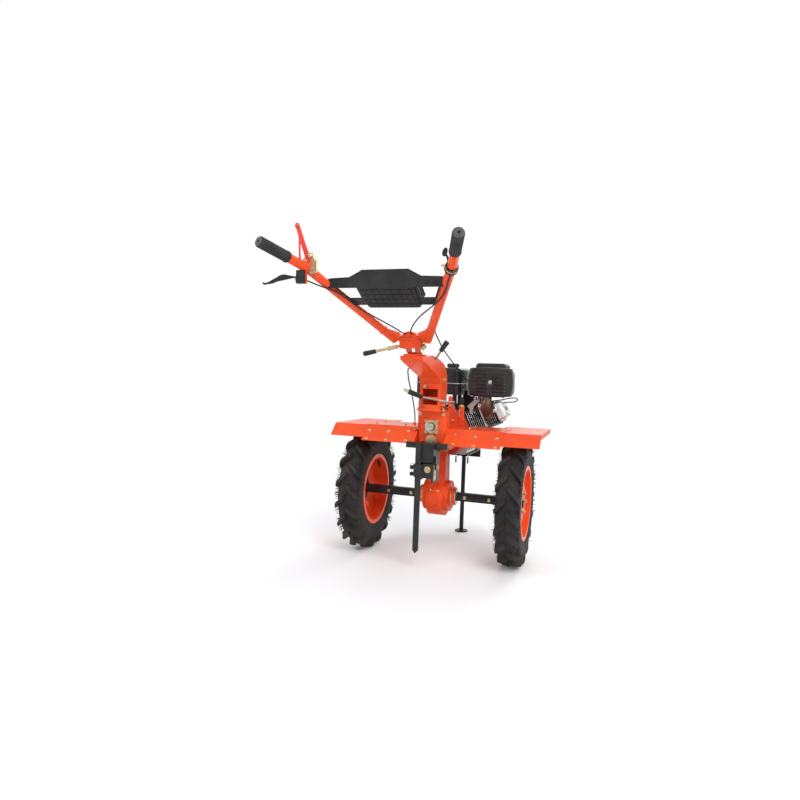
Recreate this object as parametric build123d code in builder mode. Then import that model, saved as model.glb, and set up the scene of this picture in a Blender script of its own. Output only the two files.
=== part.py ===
from build123d import *
from math import atan2, cos, degrees, pi, radians, sin, tan
import os

# Walking tractor, two wheels, petrol engine in front, handlebar behind.
# Millimetres. The origin is on the floor under the axle's middle.
# X is the machine's right, Y its direction of travel and Z up.

os.makedirs("parts", exist_ok=True)

# Wheels
axle_z = 280
track = 710
tyre_r = 280
tyre_half = 53
lug_count = 17
lug_height = 20
lug_half = 12
tread_sides = 68
rim_r = 166
bead_r = 153
rim_half = 48
rim_sheet = 4
disc_x = 26
disc_sheet = 5
disc_flat_r = 82
disc_holes = 6
disc_hole_at = 105
disc_hole_r = 10
hub_flange_r = 58
hub_flange = 8
hub_bolts = 5
hub_bolts_at = 44
hub_bolt_r = 9
axle_hex = 38
axle_start = 88

# Final drive leg and gearbox
case_r = 82
case_half = 60
leg_half = 38
leg_depth = 62
box_half = 65
box_rear = -155
box_front = 36
box_bottom = 500
box_top = 676
shaft_z = 606
ear_x = -77
ear_z = 600
ear_stop = 22
ear_root = 12 - box_half
output_r = 29

# Clutch bell between the gearbox and the engine
bell_r = 108
bell_front = 118

# Power take-off
pto_shaft_r = 17.5
pto_bore_r = 18
pto_ring_r = 30
pto_ring = 9
pto_end = -196
cap_z = 546

# Engine
crank_z = 565
block_left = -118
block_right = 92
block_front = 318
block_bottom = 459
block_top = 662
tilt = 25
bore_r = 62
bore_start = 78
fin_start = 104
fin_end = 244
fin_step = 9.5
fin = 3.2
fin_half = 74
fin_tall = 116
fin_corner = 14
head_joint = 176
pipe_r = 17
flange_t = 8
elbow = pipe_r + 9
shroud_r = 116
shroud_front = 404
starter_r = 98
starter_front = 452
tank_left = -176
tank_right = 50
tank_rear = 136
tank_front = 424
tank_seam = 794
tank_bottom = tank_seam - 52
tank_top = tank_seam + 78
cap_r = 31

# Muffler and its guard
muffler_left = 108
muffler_right = 292
muffler_rear = 98
muffler_front = 226
muffler_bottom = 752
muffler_top = 866
guard_gap = 9
guard_sheet = 3

# Air cleaner and carburettor
cleaner_left = 84
cleaner_right = 236
cleaner_rear = 300
cleaner_front = 440
cleaner_bottom = 744
cleaner_top = 902

# Fenders
fender_z = 597
fender_sheet = 3
fender_in = 270
fender_out = 471
fender_rear = -137
fender_front = 235
flare = 54
bracket_in = 112
bracket_out = 312
bracket_flare = 66
bracket_front = 92

# Column
column_half = 46
column_sheet = 4
column_rear = -200
column_front = -98
knee_z = 795
pad_z = 910
pad_r = 44
swivel_y = -432

# Handlebar
head_plate = 8
head_r = 30
cheek_r = 25
cheek_mid = 18
hinge_r = 8
hinge_y = -462
hinge_z = 940
arch_z = 955
yoke_half = 38
yoke_rear = -508
yoke_front = -434
yoke_sheet = 4
tube_r = 16
foot = (66, -482, 964)
bend = (255, -866, 1178)
tip = (320, -1061, 1227)
tube_bend = 90
plate_s = 356
tray_low = 222
tray_high = 346
tray_half = 100
tray_wall = 3
tray_deep = 52
grip_r = 20
grip_length = 128

# Front stand
stand_y = 486
stand_r = 11
stand_top = 452
stand_foot_r = 34

# Lever grips and cables
lever_grip_r = 10.5
cable_r = 2.5

# Hitch and depth stake
hitch_half = 40
hitch_sheet = 7
hitch_rear = -252
hitch_low = 372
hitch_top = 541
hitch_bar_half = 92
pin_r = 8
stake_x = -24
stake_top = 541
stake_low = 68
stake_wide = 24
stake_thick = 10

seat = 0.3


def rod(points, radius, bend_radius=None):
    """A round rod along straight runs joined by tangent arcs."""
    with BuildPart() as piece:
        with BuildLine() as path:
            if bend_radius is None:
                Polyline(*points)
            else:
                FilletPolyline(*points, radius=bend_radius)
        with BuildSketch(Plane(origin=path.line @ 0, z_dir=path.line % 0)):
            Circle(radius)
        sweep()
    return piece


def bar(start, end, radius):
    """A straight round bar between two points."""
    way = Vector(*end) - Vector(*start)
    with BuildPart() as piece:
        with BuildSketch(Plane(origin=start, z_dir=way)):
            Circle(radius)
        extrude(amount=way.length)
    return piece


def cable(points):
    """A cable: straight runs joined by tangent arcs as large as the runs allow."""
    places = [Vector(*point) for point in points]
    runs = [b - a for a, b in zip(places, places[1:])]
    radii = []
    for before, after in zip(runs, runs[1:]):
        half_turn = radians(before.get_angle(after)) / 2
        radii.append(0.45 * min(before.length, after.length) / tan(half_turn))
    with BuildPart() as piece:
        with BuildLine() as path:
            FilletPolyline(*places, radius=radii)
        with BuildSketch(Plane(origin=path.line @ 0, z_dir=path.line % 0)):
            Circle(cable_r)
        sweep()
    print("cable radii", [round(radius) for radius in radii])
    plain_volume = pi * cable_r**2 * path.wires()[0].length
    print("volume over section times length", round(piece.part.volume / plain_volume, 4))
    return piece


def slab(corner, opposite):
    """A plain block between two opposite corners."""
    size = [b - a for a, b in zip(corner, opposite)]
    box = Box(*size, align=(Align.MIN, Align.MIN, Align.MIN), mode=Mode.PRIVATE)
    return Pos(*corner) * box


def across(x=0, y=0, z=0):
    """The upright plane that looks along X: its own axes are Y and Z."""
    return Plane(origin=(x, y, z), x_dir=(0, 1, 0), z_dir=(1, 0, 0))


def facing_back(x=0, y=0, z=0):
    """The upright plane that faces the operator: its own axes are X and Z."""
    return Plane(origin=(x, y, z), x_dir=(1, 0, 0), z_dir=(0, -1, 0))


pieces = {}

# Tyre with bar lugs
wheel_x = track / 2
spin = Axis((wheel_x, 0, axle_z), (1, 0, 0))
carcass_r = tyre_r - lug_height
lug_plane = Plane.XY.offset(tyre_r - 1.5)
with BuildPart() as lug_outer:
    with BuildSketch(lug_plane):
        with BuildLine():
            Polyline(
                (2, 24 - lug_half),
                (2, 24 + lug_half),
                (50, -24 + lug_half),
                (50, -24 - lug_half),
                close=True,
            )
        make_face()
    extrude(amount=-lug_height - 20, taper=-6)
with BuildPart() as lug_inner:
    mirror(lug_outer.part, about=Plane.YZ)
tyre_outline = [
    (-tyre_half, rim_r + 40),
    (-tyre_half + 3, rim_r + 66),
    (-tyre_half + 30, carcass_r),
    (tyre_half - 30, carcass_r),
    (tyre_half - 3, rim_r + 66),
    (tyre_half, rim_r + 40),
]
with BuildPart() as tyre_right:
    for (start, r_start), (end, r_end) in zip(tyre_outline, tyre_outline[1:]):
        with BuildSketch(across(wheel_x + start, 0, axle_z)):
            RegularPolygon(r_start, tread_sides, major_radius=False)
        extrude(amount=end - start, taper=degrees(atan2(r_start - r_end, end - start)))
    for side, lug in ((-1, lug_inner), (1, lug_outer)):
        shift = 0.5 if side > 0 else 0
        turns = [360 / lug_count * (k + shift) for k in range(lug_count)]
        hub = Location((wheel_x, 0, axle_z))
        with Locations(*[hub * Location((0, 0, 0), (turn, 0, 0)) for turn in turns]):
            add(lug.part)
    with BuildSketch(facing_back(wheel_x, 0, axle_z)):
        with BuildLine():
            Polyline(
                (0, 0),
                (tyre_half + 1, 0),
                (tyre_half + 1, rim_r + 42),
                (rim_half - rim_sheet, rim_r + 2),
                (rim_half - rim_sheet, bead_r),
                (0, bead_r),
                close=True,
            )
        make_face()
        mirror(about=Plane.YZ)
    revolve(axis=spin, mode=Mode.SUBTRACT)
pieces["tyre_right"] = tyre_right

# Rim: barrel, flanges and dished disc
with BuildPart() as rim_right:
    with BuildSketch(facing_back(wheel_x, 0, axle_z)):
        with BuildLine():
            Polyline(
                (-rim_half, rim_r),
                (-rim_half, bead_r - rim_sheet),
                (rim_half, bead_r - rim_sheet),
                (rim_half, rim_r),
                (rim_half - rim_sheet, rim_r),
                (rim_half - rim_sheet, bead_r - seat),
                (-rim_half + rim_sheet, bead_r - seat),
                (-rim_half + rim_sheet, rim_r),
                close=True,
            )
        make_face()
        with BuildLine():
            Polyline(
                (disc_x, axle_hex / 2),
                (disc_x, disc_flat_r),
                (disc_x - 20, bead_r - rim_sheet + 1),
                (disc_x - 14, bead_r - rim_sheet + 1),
                (disc_x + disc_sheet, disc_flat_r + 2),
                (disc_x + disc_sheet, axle_hex / 2),
                close=True,
            )
        make_face()
    revolve(axis=spin)
    with BuildSketch(across(wheel_x, 0, axle_z)):
        RegularPolygon(axle_hex / 2 + seat, 6, major_radius=False)
        with PolarLocations(disc_hole_at, disc_holes):
            Circle(disc_hole_r)
    extrude(amount=rim_half, mode=Mode.SUBTRACT)
pieces["rim_right"] = rim_right

# Half axle: hexagon tube and bolted hub flange
with BuildPart() as axle_right:
    with BuildSketch(across(axle_start, 0, axle_z)):
        RegularPolygon(axle_hex / 2, 6, major_radius=False)
    extrude(amount=wheel_x + disc_x + 12 - axle_start)
    with BuildSketch(across(wheel_x + disc_x - hub_flange, 0, axle_z)):
        Circle(hub_flange_r)
    extrude(amount=hub_flange)
    with BuildSketch(across(wheel_x + disc_x - hub_flange, 0, axle_z)):
        with PolarLocations(hub_bolts_at, hub_bolts):
            RegularPolygon(hub_bolt_r, 6)
    extrude(amount=-7)
pieces["axle_right"] = axle_right

# Final drive: round case on the axle and the leg above it
with BuildPart() as drive_leg:
    with BuildSketch(across(-leg_half, 0, 0)):
        with BuildLine():
            Line((-leg_depth / 2, box_bottom), (leg_depth / 2, box_bottom))
            Line((leg_depth / 2, box_bottom), (leg_depth / 2 + 12, axle_z + 60))
            RadiusArc(
                (leg_depth / 2 + 12, axle_z + 60),
                (-leg_depth / 2 - 12, axle_z + 60),
                -case_r,
                short_sagitta=False,
            )
            Line((-leg_depth / 2 - 12, axle_z + 60), (-leg_depth / 2, box_bottom))
        make_face()
    extrude(amount=2 * leg_half)
    with BuildSketch(across(-case_half, 0, axle_z)):
        Circle(case_r - 12)
    extrude(amount=2 * case_half)
    with BuildSketch(across(-axle_start + 6, 0, axle_z)):
        Circle(output_r + 12)
    extrude(amount=2 * axle_start - 12)
    with BuildSketch(Plane.XY.offset(axle_z - case_r)):
        RectangleRounded(58, 58, 8)
    extrude(amount=40)
pieces["drive_leg"] = drive_leg

# Zinc flange nuts where the half axles come out
with BuildPart() as output_nuts:
    for side in (-1, 1):
        with BuildSketch(across(side * (axle_start - 6), 0, axle_z)):
            Circle(output_r + 6)
            RegularPolygon(axle_hex / 2 + seat, 6, major_radius=False, mode=Mode.SUBTRACT)
        extrude(amount=side * 6)
pieces["output_nuts"] = output_nuts

# Gearbox, with bores for the power take-off
with BuildPart() as gearbox:
    with BuildSketch(Plane.XY.offset(box_bottom)):
        with Locations((0, (box_rear + box_front) / 2)):
            RectangleRounded(2 * box_half, box_front - box_rear, 14)
    extrude(amount=box_top - box_bottom)
    with BuildSketch(facing_back(0, box_rear, shaft_z)):
        Circle(pto_bore_r)
    extrude(amount=-60, mode=Mode.SUBTRACT)
    add(slab((ear_x - 8, box_rear - 12, ear_z - 8), (ear_root, box_rear, ear_z)))
    with BuildSketch(Plane.XY.offset(ear_z)):
        with Locations((ear_x, box_rear - 6)):
            RegularPolygon(5.5, 12)
    extrude(amount=ear_stop)
pieces["gearbox"] = gearbox

with BuildPart() as pto_ring_part:
    with BuildSketch(facing_back(0, box_rear, shaft_z)):
        Circle(pto_ring_r)
        Circle(pto_bore_r + 1, mode=Mode.SUBTRACT)
    extrude(amount=pto_ring)
    with BuildSketch(facing_back(0, box_rear, shaft_z)):
        with PolarLocations(pto_ring_r + 3, 4, start_angle=45):
            Circle(6.5)
        Circle(pto_ring_r - 1, mode=Mode.SUBTRACT)
    extrude(amount=5)
pieces["pto_ring"] = pto_ring_part

with BuildPart() as pto_shaft:
    with BuildSketch(facing_back(0, box_rear + 55, shaft_z)):
        Circle(pto_bore_r - seat)
    extrude(amount=55)
    with BuildSketch(facing_back(0, box_rear, shaft_z)):
        Circle(pto_shaft_r)
    extrude(amount=box_rear - pto_end)
pieces["pto_shaft"] = pto_shaft

with BuildPart() as bearing_cap:
    with BuildSketch(facing_back(0, box_rear, cap_z)):
        Circle(24)
    extrude(amount=7)
    with BuildSketch(facing_back(0, box_rear - 7, cap_z)):
        RegularPolygon(15, 6)
    extrude(amount=8)
pieces["bearing_cap"] = bearing_cap

# Clutch bell
with BuildPart() as clutch_bell:
    with BuildSketch(facing_back(0, bell_front, 0)):
        with Locations((0, crank_z)):
            Circle(bell_r)
    extrude(amount=bell_front - box_front)
pieces["clutch_bell"] = clutch_bell

# Engine block
lean = Vector(cos(radians(tilt)), 0, sin(radians(tilt)))
block_mid = (bell_front + block_front) / 2
head_plane = Plane(origin=(0, block_mid, crank_z), x_dir=(0, 1, 0), z_dir=lean)
with BuildPart() as crankcase:
    with BuildSketch(facing_back(0, block_front, 0)):
        with BuildLine():
            Polyline(
                (block_left, block_bottom),
                (block_right, block_bottom),
                (block_right + 14, crank_z - 60),
                (block_right - 12, crank_z + 60),
                (block_right - 60, block_top),
                (block_left + 30, block_top),
                (block_left, block_top - 60),
                close=True,
            )
        make_face()
    extrude(amount=block_front - bell_front)
    fillet(crankcase.edges().filter_by(Axis.Y), 8)
pieces["crankcase"] = crankcase

# Cylinder and head with cooling fins, leaning out to the right
port = (184, block_mid - fin_half, 668)
with BuildPart() as cylinder:
    with BuildSketch(head_plane.offset(bore_start)):
        RegularPolygon(bore_r, 16)
    extrude(amount=fin_end - bore_start)
    add(crankcase.part, mode=Mode.SUBTRACT)
    with BuildSketch(head_plane.offset(head_joint)):
        Rectangle(2 * fin_half - 16, fin_tall - 12)
    extrude(amount=2 * fin)
    count = int((fin_end - fin_start) / fin_step)
    for k in range(count):
        level = fin_start + fin_step * (k + 0.6)
        if abs(level - head_joint - fin) > fin_step / 2:
            with BuildSketch(head_plane.offset(level)):
                corners = Rectangle(2 * fin_half, fin_tall).vertices()
                chamfer(corners, fin_corner)
            extrude(amount=fin)
    with BuildSketch(facing_back(port[0], port[1], port[2])):
        RegularPolygon(pipe_r + 9, 12)
    extrude(amount=-40)
pieces["cylinder"] = cylinder

with BuildPart() as valve_cover:
    with BuildSketch(head_plane.offset(fin_end)):
        RectangleRounded(130, 104, 14)
    extrude(amount=20)
    with BuildSketch(head_plane.offset(fin_end + 20)):
        RectangleRounded(112, 88, 18)
    extrude(amount=28, taper=8)
pieces["valve_cover"] = valve_cover

with BuildPart() as shroud:
    with BuildSketch(facing_back(0, shroud_front, 0)):
        with Locations((0, crank_z + 14)):
            Circle(shroud_r)
        with Locations((0, block_bottom + 20)):
            Rectangle(190, 40)
        make_hull()
    extrude(amount=shroud_front - block_front)
pieces["shroud"] = shroud

with BuildPart() as recoil_starter:
    with BuildSketch(facing_back(0, shroud_front, crank_z + 14)):
        Circle(starter_r)
    extrude(amount=-(starter_front - shroud_front), taper=12)
    with BuildSketch(facing_back(0, starter_front, crank_z + 14)):
        with PolarLocations(56, 12):
            Rectangle(34, 7)
    extrude(amount=6, mode=Mode.SUBTRACT)
    with BuildSketch(facing_back(0, starter_front, crank_z + 14)):
        RegularPolygon(24, 12)
    extrude(amount=-6)
pieces["recoil_starter"] = recoil_starter

with BuildPart() as fuel_tank:
    with BuildSketch(Plane.XY.offset(tank_bottom)):
        with Locations(((tank_left + tank_right) / 2, (tank_rear + tank_front) / 2)):
            RectangleRounded(tank_right - tank_left, tank_front - tank_rear, 30)
    extrude(amount=tank_top - tank_bottom)
    fillet(fuel_tank.faces().sort_by(Axis.Z)[-1].edges(), 16)
    with BuildSketch(Plane.XY.offset(tank_seam)):
        with Locations(((tank_left + tank_right) / 2, (tank_rear + tank_front) / 2)):
            RectangleRounded(tank_right - tank_left + 10, tank_front - tank_rear + 10, 35)
    extrude(amount=4)
    for y in (tank_rear + 40, block_front - 40):
        for x in (-66, 14):
            with BuildSketch(Plane.XY.offset(block_top)):
                with Locations((x, y)):
                    Circle(11)
            extrude(amount=tank_bottom - block_top + 1)
pieces["fuel_tank"] = fuel_tank

with BuildPart() as fuel_cap:
    with BuildSketch(Plane.XY.offset(tank_top)):
        with Locations(((tank_left + tank_right) / 2 + 46, tank_rear + 110)):
            Circle(cap_r - 6)
    extrude(amount=22)
    with BuildSketch(Plane.XY.offset(tank_top + 5)):
        with Locations(((tank_left + tank_right) / 2 + 46, tank_rear + 110)):
            RegularPolygon(cap_r, 24)
    extrude(amount=17, taper=6)
pieces["fuel_cap"] = fuel_cap

# Muffler and its louvred guard
with BuildPart() as muffler:
    add(slab((muffler_left, muffler_rear, muffler_bottom), (muffler_right, muffler_front, muffler_top)))
    fillet(muffler.edges().filter_by(Axis.Y), 18)
pieces["muffler"] = muffler

with BuildPart() as muffler_guard:
    outer = guard_gap + guard_sheet
    add(
        slab(
            (muffler_left - outer, muffler_rear - outer, muffler_bottom - outer),
            (muffler_right + outer, muffler_rear + 40, muffler_top + outer),
        )
    )
    fillet(muffler_guard.edges().filter_by(Axis.Y), 20)
    fillet(muffler_guard.faces().sort_by(Axis.Y)[0].edges(), 6)
    add(
        slab(
            (muffler_left - guard_gap, muffler_rear - guard_gap, muffler_bottom - guard_gap),
            (muffler_right + guard_gap, muffler_rear + 41, muffler_top + guard_gap),
        ),
        mode=Mode.SUBTRACT,
    )
    add(
        slab((164, muffler_rear - 20, muffler_bottom - 20), (212, muffler_front, muffler_bottom)),
        mode=Mode.SUBTRACT,
    )
    with BuildSketch(facing_back(0, muffler_rear, 0)):
        middle = ((muffler_left + muffler_right) / 2, (muffler_bottom + muffler_top) / 2)
        with Locations(middle):
            with GridLocations(78, 16, 2, 6):
                Rectangle(60, 6)
    extrude(amount=30, mode=Mode.SUBTRACT)
    with BuildSketch(facing_back(0, muffler_rear, 0)):
        with Locations(middle):
            with GridLocations(0, 96, 1, 2):
                RegularPolygon(5, 8)
    extrude(amount=guard_gap + 1)
pieces["muffler_guard"] = muffler_guard

with BuildPart() as exhaust_pipe:
    with BuildSketch(Plane(origin=port, x_dir=(lean.Z, 0, -lean.X), z_dir=(0, -1, 0))):
        SlotOverall(2 * pipe_r + 44, 2 * pipe_r + 8)
    extrude(amount=flange_t)
    add(
        rod(
            [
                (port[0], port[1] - 1, port[2]),
                (port[0], port[1] - elbow - 1, port[2]),
                (port[0], port[1] - elbow - 1, muffler_bottom),
            ],
            pipe_r,
            elbow - 1,
        ).part
    )
pieces["exhaust_pipe"] = exhaust_pipe

with BuildPart() as air_cleaner:
    add(
        slab(
            (cleaner_left, cleaner_rear, cleaner_bottom),
            (cleaner_right, cleaner_front, cleaner_top),
        )
    )
    fillet(air_cleaner.edges().filter_by(Axis.Z), 14)
    chamfer(air_cleaner.faces().sort_by(Axis.Z)[-1].edges(), 10)
pieces["air_cleaner"] = air_cleaner

with BuildPart() as carburettor:
    add(slab((104, 322, 650), (152, 380, cleaner_bottom)))
    with BuildSketch(facing_back(128, 322, 668)):
        RegularPolygon(16, 12)
    extrude(amount=322 - block_mid - fin_half)
pieces["carburettor"] = carburettor

# Engine carrier and front stand bracket
rail_top = block_bottom
with BuildPart() as engine_frame:
    for side in (-1, 1):
        left = side * 80 - 20
        add(slab((left, bell_front + 4, rail_top - 6), (left + 40, stand_y - 54, rail_top)))
    add(slab((-100, stand_y - 60, 415), (100, stand_y - 54, rail_top)))
    with BuildSketch(Plane.XY.offset(415)):
        with Locations((0, stand_y)):
            Circle(stand_r + 7)
        with Locations((0, stand_y - 38)):
            Rectangle(28, 44)
        with Locations((0, stand_y)):
            Circle(stand_r + seat, mode=Mode.SUBTRACT)
    extrude(amount=34)
pieces["engine_frame"] = engine_frame

with BuildPart() as front_stand:
    with BuildSketch(Plane.XY.offset(4)):
        with Locations((0, stand_y)):
            Circle(stand_r)
    extrude(amount=stand_top - 4)
    with BuildSketch(Plane.XY):
        with Locations((0, stand_y)):
            Circle(stand_foot_r)
    extrude(amount=5)
    with BuildSketch(Plane.XY.offset(196)):
        with Locations((0, stand_y)):
            Rectangle(76, 34)
    extrude(amount=6)
pieces["front_stand"] = front_stand

# Fenders and the brackets that lap over them
with BuildPart() as fender_right:
    with BuildSketch(across(fender_in, 0, 0)):
        with BuildLine():
            Polyline(
                (fender_front, fender_z),
                (fender_rear + 1, fender_z),
                (fender_rear - flare + 1, fender_z - flare),
                (fender_rear - flare + 5, fender_z - flare),
                (fender_rear + 3, fender_z - fender_sheet),
                (fender_front, fender_z - fender_sheet),
                close=True,
            )
        make_face()
    extrude(amount=fender_out - fender_in)
    add(slab((fender_out - 3, fender_rear + 4, fender_z - 20), (fender_out, fender_front, fender_z)))
pieces["fender_right"] = fender_right

with BuildPart() as bracket_right:
    with BuildSketch(across(box_half, 0, 0)):
        with BuildLine():
            Polyline(
                (30, fender_z),
                (fender_rear + 1, fender_z),
                (fender_rear + 1 - bracket_flare, fender_z - bracket_flare),
                (fender_rear - 3 - bracket_flare, fender_z - bracket_flare),
                (fender_rear - 1, fender_z + fender_sheet),
                (30, fender_z + fender_sheet),
                close=True,
            )
        make_face()
    extrude(amount=bracket_out - box_half)
    add(slab((bracket_in, 29, fender_z), (bracket_out, bracket_front, fender_z + fender_sheet)))
    with BuildSketch(across(box_half, 0, 0)):
        with BuildLine():
            Polyline(
                (fender_rear + 6, fender_z + 2),
                (fender_rear + 6 - 60, fender_z - 60),
                (-100, box_bottom + 6),
                (20, box_bottom + 6),
                (20, box_top - 30),
                (-96, 742),
                (-136, 742),
                (-136, fender_z + 2),
                close=True,
            )
        make_face()
    extrude(amount=5)
pieces["bracket_right"] = bracket_right

# Column
with BuildPart() as column:
    with BuildSketch(across(-column_half, 0, 0)):
        with BuildLine():
            Polyline(
                (column_rear + 3, box_top),
                (column_rear, knee_z),
                (-225, 822),
                (-440, 878),
                (-474, 888),
                (-474, pad_z - 8),
                (-390, pad_z - 8),
                (-345, pad_z),
                (-232, 897),
                (-131, 864),
                (column_front, knee_z),
                (column_front, box_top),
                close=True,
            )
        make_face()
    extrude(amount=2 * column_half)
    with BuildSketch(across(-column_half + column_sheet, 0, 0)):
        with BuildLine():
            Polyline(
                (column_rear + 8, box_top - 1),
                (column_rear + 5, knee_z - 2),
                (-228, 828),
                (-440, 883),
                (-469, 891),
                (-469, pad_z - 13),
                (-389, pad_z - 13),
                (-344, pad_z - 5),
                (-232, 892),
                (-135, 860),
                (column_front - 5, knee_z - 2),
                (column_front - 5, box_top - 1),
                close=True,
            )
        make_face()
    extrude(amount=2 * (column_half - column_sheet), mode=Mode.SUBTRACT)
    for low, high in ((704, 728), (738, 772)):
        add(slab((-34, column_rear - 10, low), (34, column_rear + 20, high)), mode=Mode.SUBTRACT)
    with BuildSketch(Plane.XY.offset(pad_z - 8)):
        with Locations((0, swivel_y)):
            Circle(pad_r)
    extrude(amount=8)
pieces["column"] = column

# Swivel head with its two round cheeks
head_bottom = pad_z + seat
with BuildPart() as swivel_head:
    with BuildSketch(Plane.XY.offset(head_bottom)):
        with Locations((0, swivel_y)):
            Circle(head_r)
    extrude(amount=head_plate)
    for side in (-1, 1):
        with BuildSketch(across(side * cheek_mid - 3, hinge_y, 0)):
            with Locations((0, hinge_z)):
                Circle(cheek_r)
            with BuildLine():
                Polyline(
                    (-12, hinge_z),
                    (6, head_bottom),
                    (52, head_bottom),
                    (22, hinge_z + 8),
                    close=True,
                )
            make_face()
        extrude(amount=6)
    with BuildSketch(across(-yoke_half - 3, hinge_y, hinge_z)):
        Circle(hinge_r)
    extrude(amount=2 * yoke_half + 6)
pieces["swivel_head"] = swivel_head

# Handlebar tubes
foot_v = Vector(*foot)
bend_v = Vector(*bend)
tip_v = Vector(*tip)
run = (bend_v - foot_v).normalized()
last = (tip_v - bend_v).normalized()
pieces["handle_tube_right"] = rod([foot_v, bend_v, tip_v], tube_r, tube_bend)
tube_right = pieces["handle_tube_right"].part

with BuildPart() as grip_right:
    with BuildSketch(Plane(origin=tip_v + last * 8, z_dir=-last)):
        Circle(grip_r)
    extrude(amount=grip_length)
    add(tube_right, mode=Mode.SUBTRACT)
pieces["grip_right"] = grip_right

# The slope that both tubes lie in: its own axes are X and up the tubes
slope_way = Vector(0, run.Y, run.Z).normalized()
slope = Plane(
    origin=(0, foot_v.Y, foot_v.Z), x_dir=(1, 0, 0), z_dir=(0, -slope_way.Z, slope_way.Y)
)
slope_length = (bend_v - foot_v).dot(slope_way)
spread = (bend_v.X - foot_v.X) / slope_length
tube_edge = tube_r / cos(atan2(spread, 1))


def tube_x(s):
    """How far from the middle the right tube's axis is, s millimetres up the slope."""
    return foot_v.X + spread * s


# Yoke: arched cover over the cheeks, with wings that carry the tubes
with BuildPart() as yoke:
    with BuildSketch(facing_back(0, yoke_front, 0)):
        with BuildLine():
            Line((-yoke_half, hinge_z - 10), (-yoke_half, arch_z))
            RadiusArc((-yoke_half, arch_z), (yoke_half, arch_z), yoke_half)
            Line((yoke_half, arch_z), (yoke_half, hinge_z - 10))
            Line((yoke_half, hinge_z - 10), (-yoke_half, hinge_z - 10))
        make_face()
    extrude(amount=yoke_front - yoke_rear)
    inner = yoke_half - yoke_sheet
    with BuildSketch(facing_back(0, yoke_front + 1, 0)):
        with BuildLine():
            Line((-inner, hinge_z - 11), (-inner, arch_z))
            RadiusArc((-inner, arch_z), (inner, arch_z), inner)
            Line((inner, arch_z), (inner, hinge_z - 11))
            Line((inner, hinge_z - 11), (-inner, hinge_z - 11))
        make_face()
    extrude(amount=yoke_front + 1 - yoke_rear - yoke_sheet, mode=Mode.SUBTRACT)
    with BuildSketch(slope.offset(-7)):
        with BuildLine():
            Polyline(
                (yoke_half - 1, -10),
                (tube_x(0) + 6, -2),
                (tube_x(80), 80),
                (yoke_half - 1, 40),
                close=True,
            )
        make_face()
        mirror(about=Plane.YZ)
    extrude(amount=14)
    with BuildSketch(across(-yoke_half - 1, hinge_y, hinge_z)):
        Circle(hinge_r + seat)
    extrude(amount=2 * yoke_half + 2, mode=Mode.SUBTRACT)
    tube_way = rod([foot_v - run * 20, bend_v], tube_r).part
    add(tube_way, mode=Mode.SUBTRACT)
    add(mirror(tube_way, about=Plane.YZ, mode=Mode.PRIVATE), mode=Mode.SUBTRACT)
pieces["yoke"] = yoke

# Cross plate between the tubes
plate_at = slope.from_local_coords(Vector(0, plate_s, 0))
with BuildPart() as cross_plate:
    with BuildSketch(facing_back(0, plate_at.Y, plate_at.Z)):
        with BuildLine():
            half = tube_x(plate_s) - 2
            Polyline(
                (-half, -16),
                (half, -16),
                (half, 15),
                (0.62 * half, 18),
                (0.4 * half, 42),
                (-0.4 * half, 42),
                (-0.62 * half, 18),
                (-half, 15),
                close=True,
            )
        make_face()
    extrude(amount=3)
    add(tube_right, mode=Mode.SUBTRACT)
    add(mirror(tube_right, about=Plane.YZ, mode=Mode.PRIVATE), mode=Mode.SUBTRACT)
pieces["cross_plate"] = cross_plate

# Tool tray, open at the top, and the two brackets that carry it
with BuildPart() as tool_tray:
    with BuildSketch(slope.offset(8)):
        with Locations((0, (tray_low + tray_high) / 2)):
            RectangleRounded(2 * tray_half, tray_high - tray_low, 12)
    extrude(amount=-tray_deep, taper=-4)
    with BuildSketch(slope.offset(8 - tray_wall)):
        with Locations((0, (tray_low + tray_high) / 2)):
            RectangleRounded(2 * (tray_half - tray_wall), tray_high - tray_low - 2 * tray_wall, 9)
    extrude(amount=-tray_deep, taper=-4, mode=Mode.SUBTRACT)
pieces["tool_tray"] = tool_tray

with BuildPart() as bracket_tray:
    with BuildSketch(slope):
        with BuildLine():
            Polyline(
                (tray_half - 4, tray_low + 10),
                (tube_x(tray_low + 10), tray_low + 10),
                (tube_x(tray_high), tray_high),
                (tray_half - 4, tray_high - 4),
                close=True,
            )
        make_face()
        with BuildLine():
            Polyline(
                (tray_half + 12, tray_low + 50),
                (tube_x(tray_low + 50) - tube_r - 8, tray_low + 50),
                (tube_x(tray_high - 14) - tube_r - 8, tray_high - 14),
                (tray_half + 12, tray_high - 14),
                close=True,
            )
        make_face(mode=Mode.SUBTRACT)
        mirror(about=Plane.YZ)
    extrude(amount=3)
    add(tube_right, mode=Mode.SUBTRACT)
    add(mirror(tube_right, about=Plane.YZ, mode=Mode.PRIVATE), mode=Mode.SUBTRACT)
    with BuildSketch(slope.offset(8)):
        with Locations((0, (tray_low + tray_high) / 2)):
            RectangleRounded(2 * tray_half, tray_high - tray_low, 12)
    extrude(amount=-tray_deep, taper=-4, mode=Mode.SUBTRACT)
pieces["tray_brackets"] = bracket_tray

# Clutch lever: a tapered fork on a zinc bracket at the left bend
clutch_y = bend_v.Y - 2
with BuildPart() as clutch_lever:
    with BuildSketch(facing_back(0, clutch_y, 0)):
        with BuildLine():
            Polyline(
                (-277, 1199),
                (-290, 1318),
                (-283, 1326),
                (-276, 1318),
                (-246, 1199),
                close=True,
            )
        make_face()
        with BuildLine():
            Polyline((-268, 1190), (-268, 1240), (-256, 1190), close=True)
        make_face(mode=Mode.SUBTRACT)
    extrude(amount=5)
pieces["clutch_lever"] = clutch_lever

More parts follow.
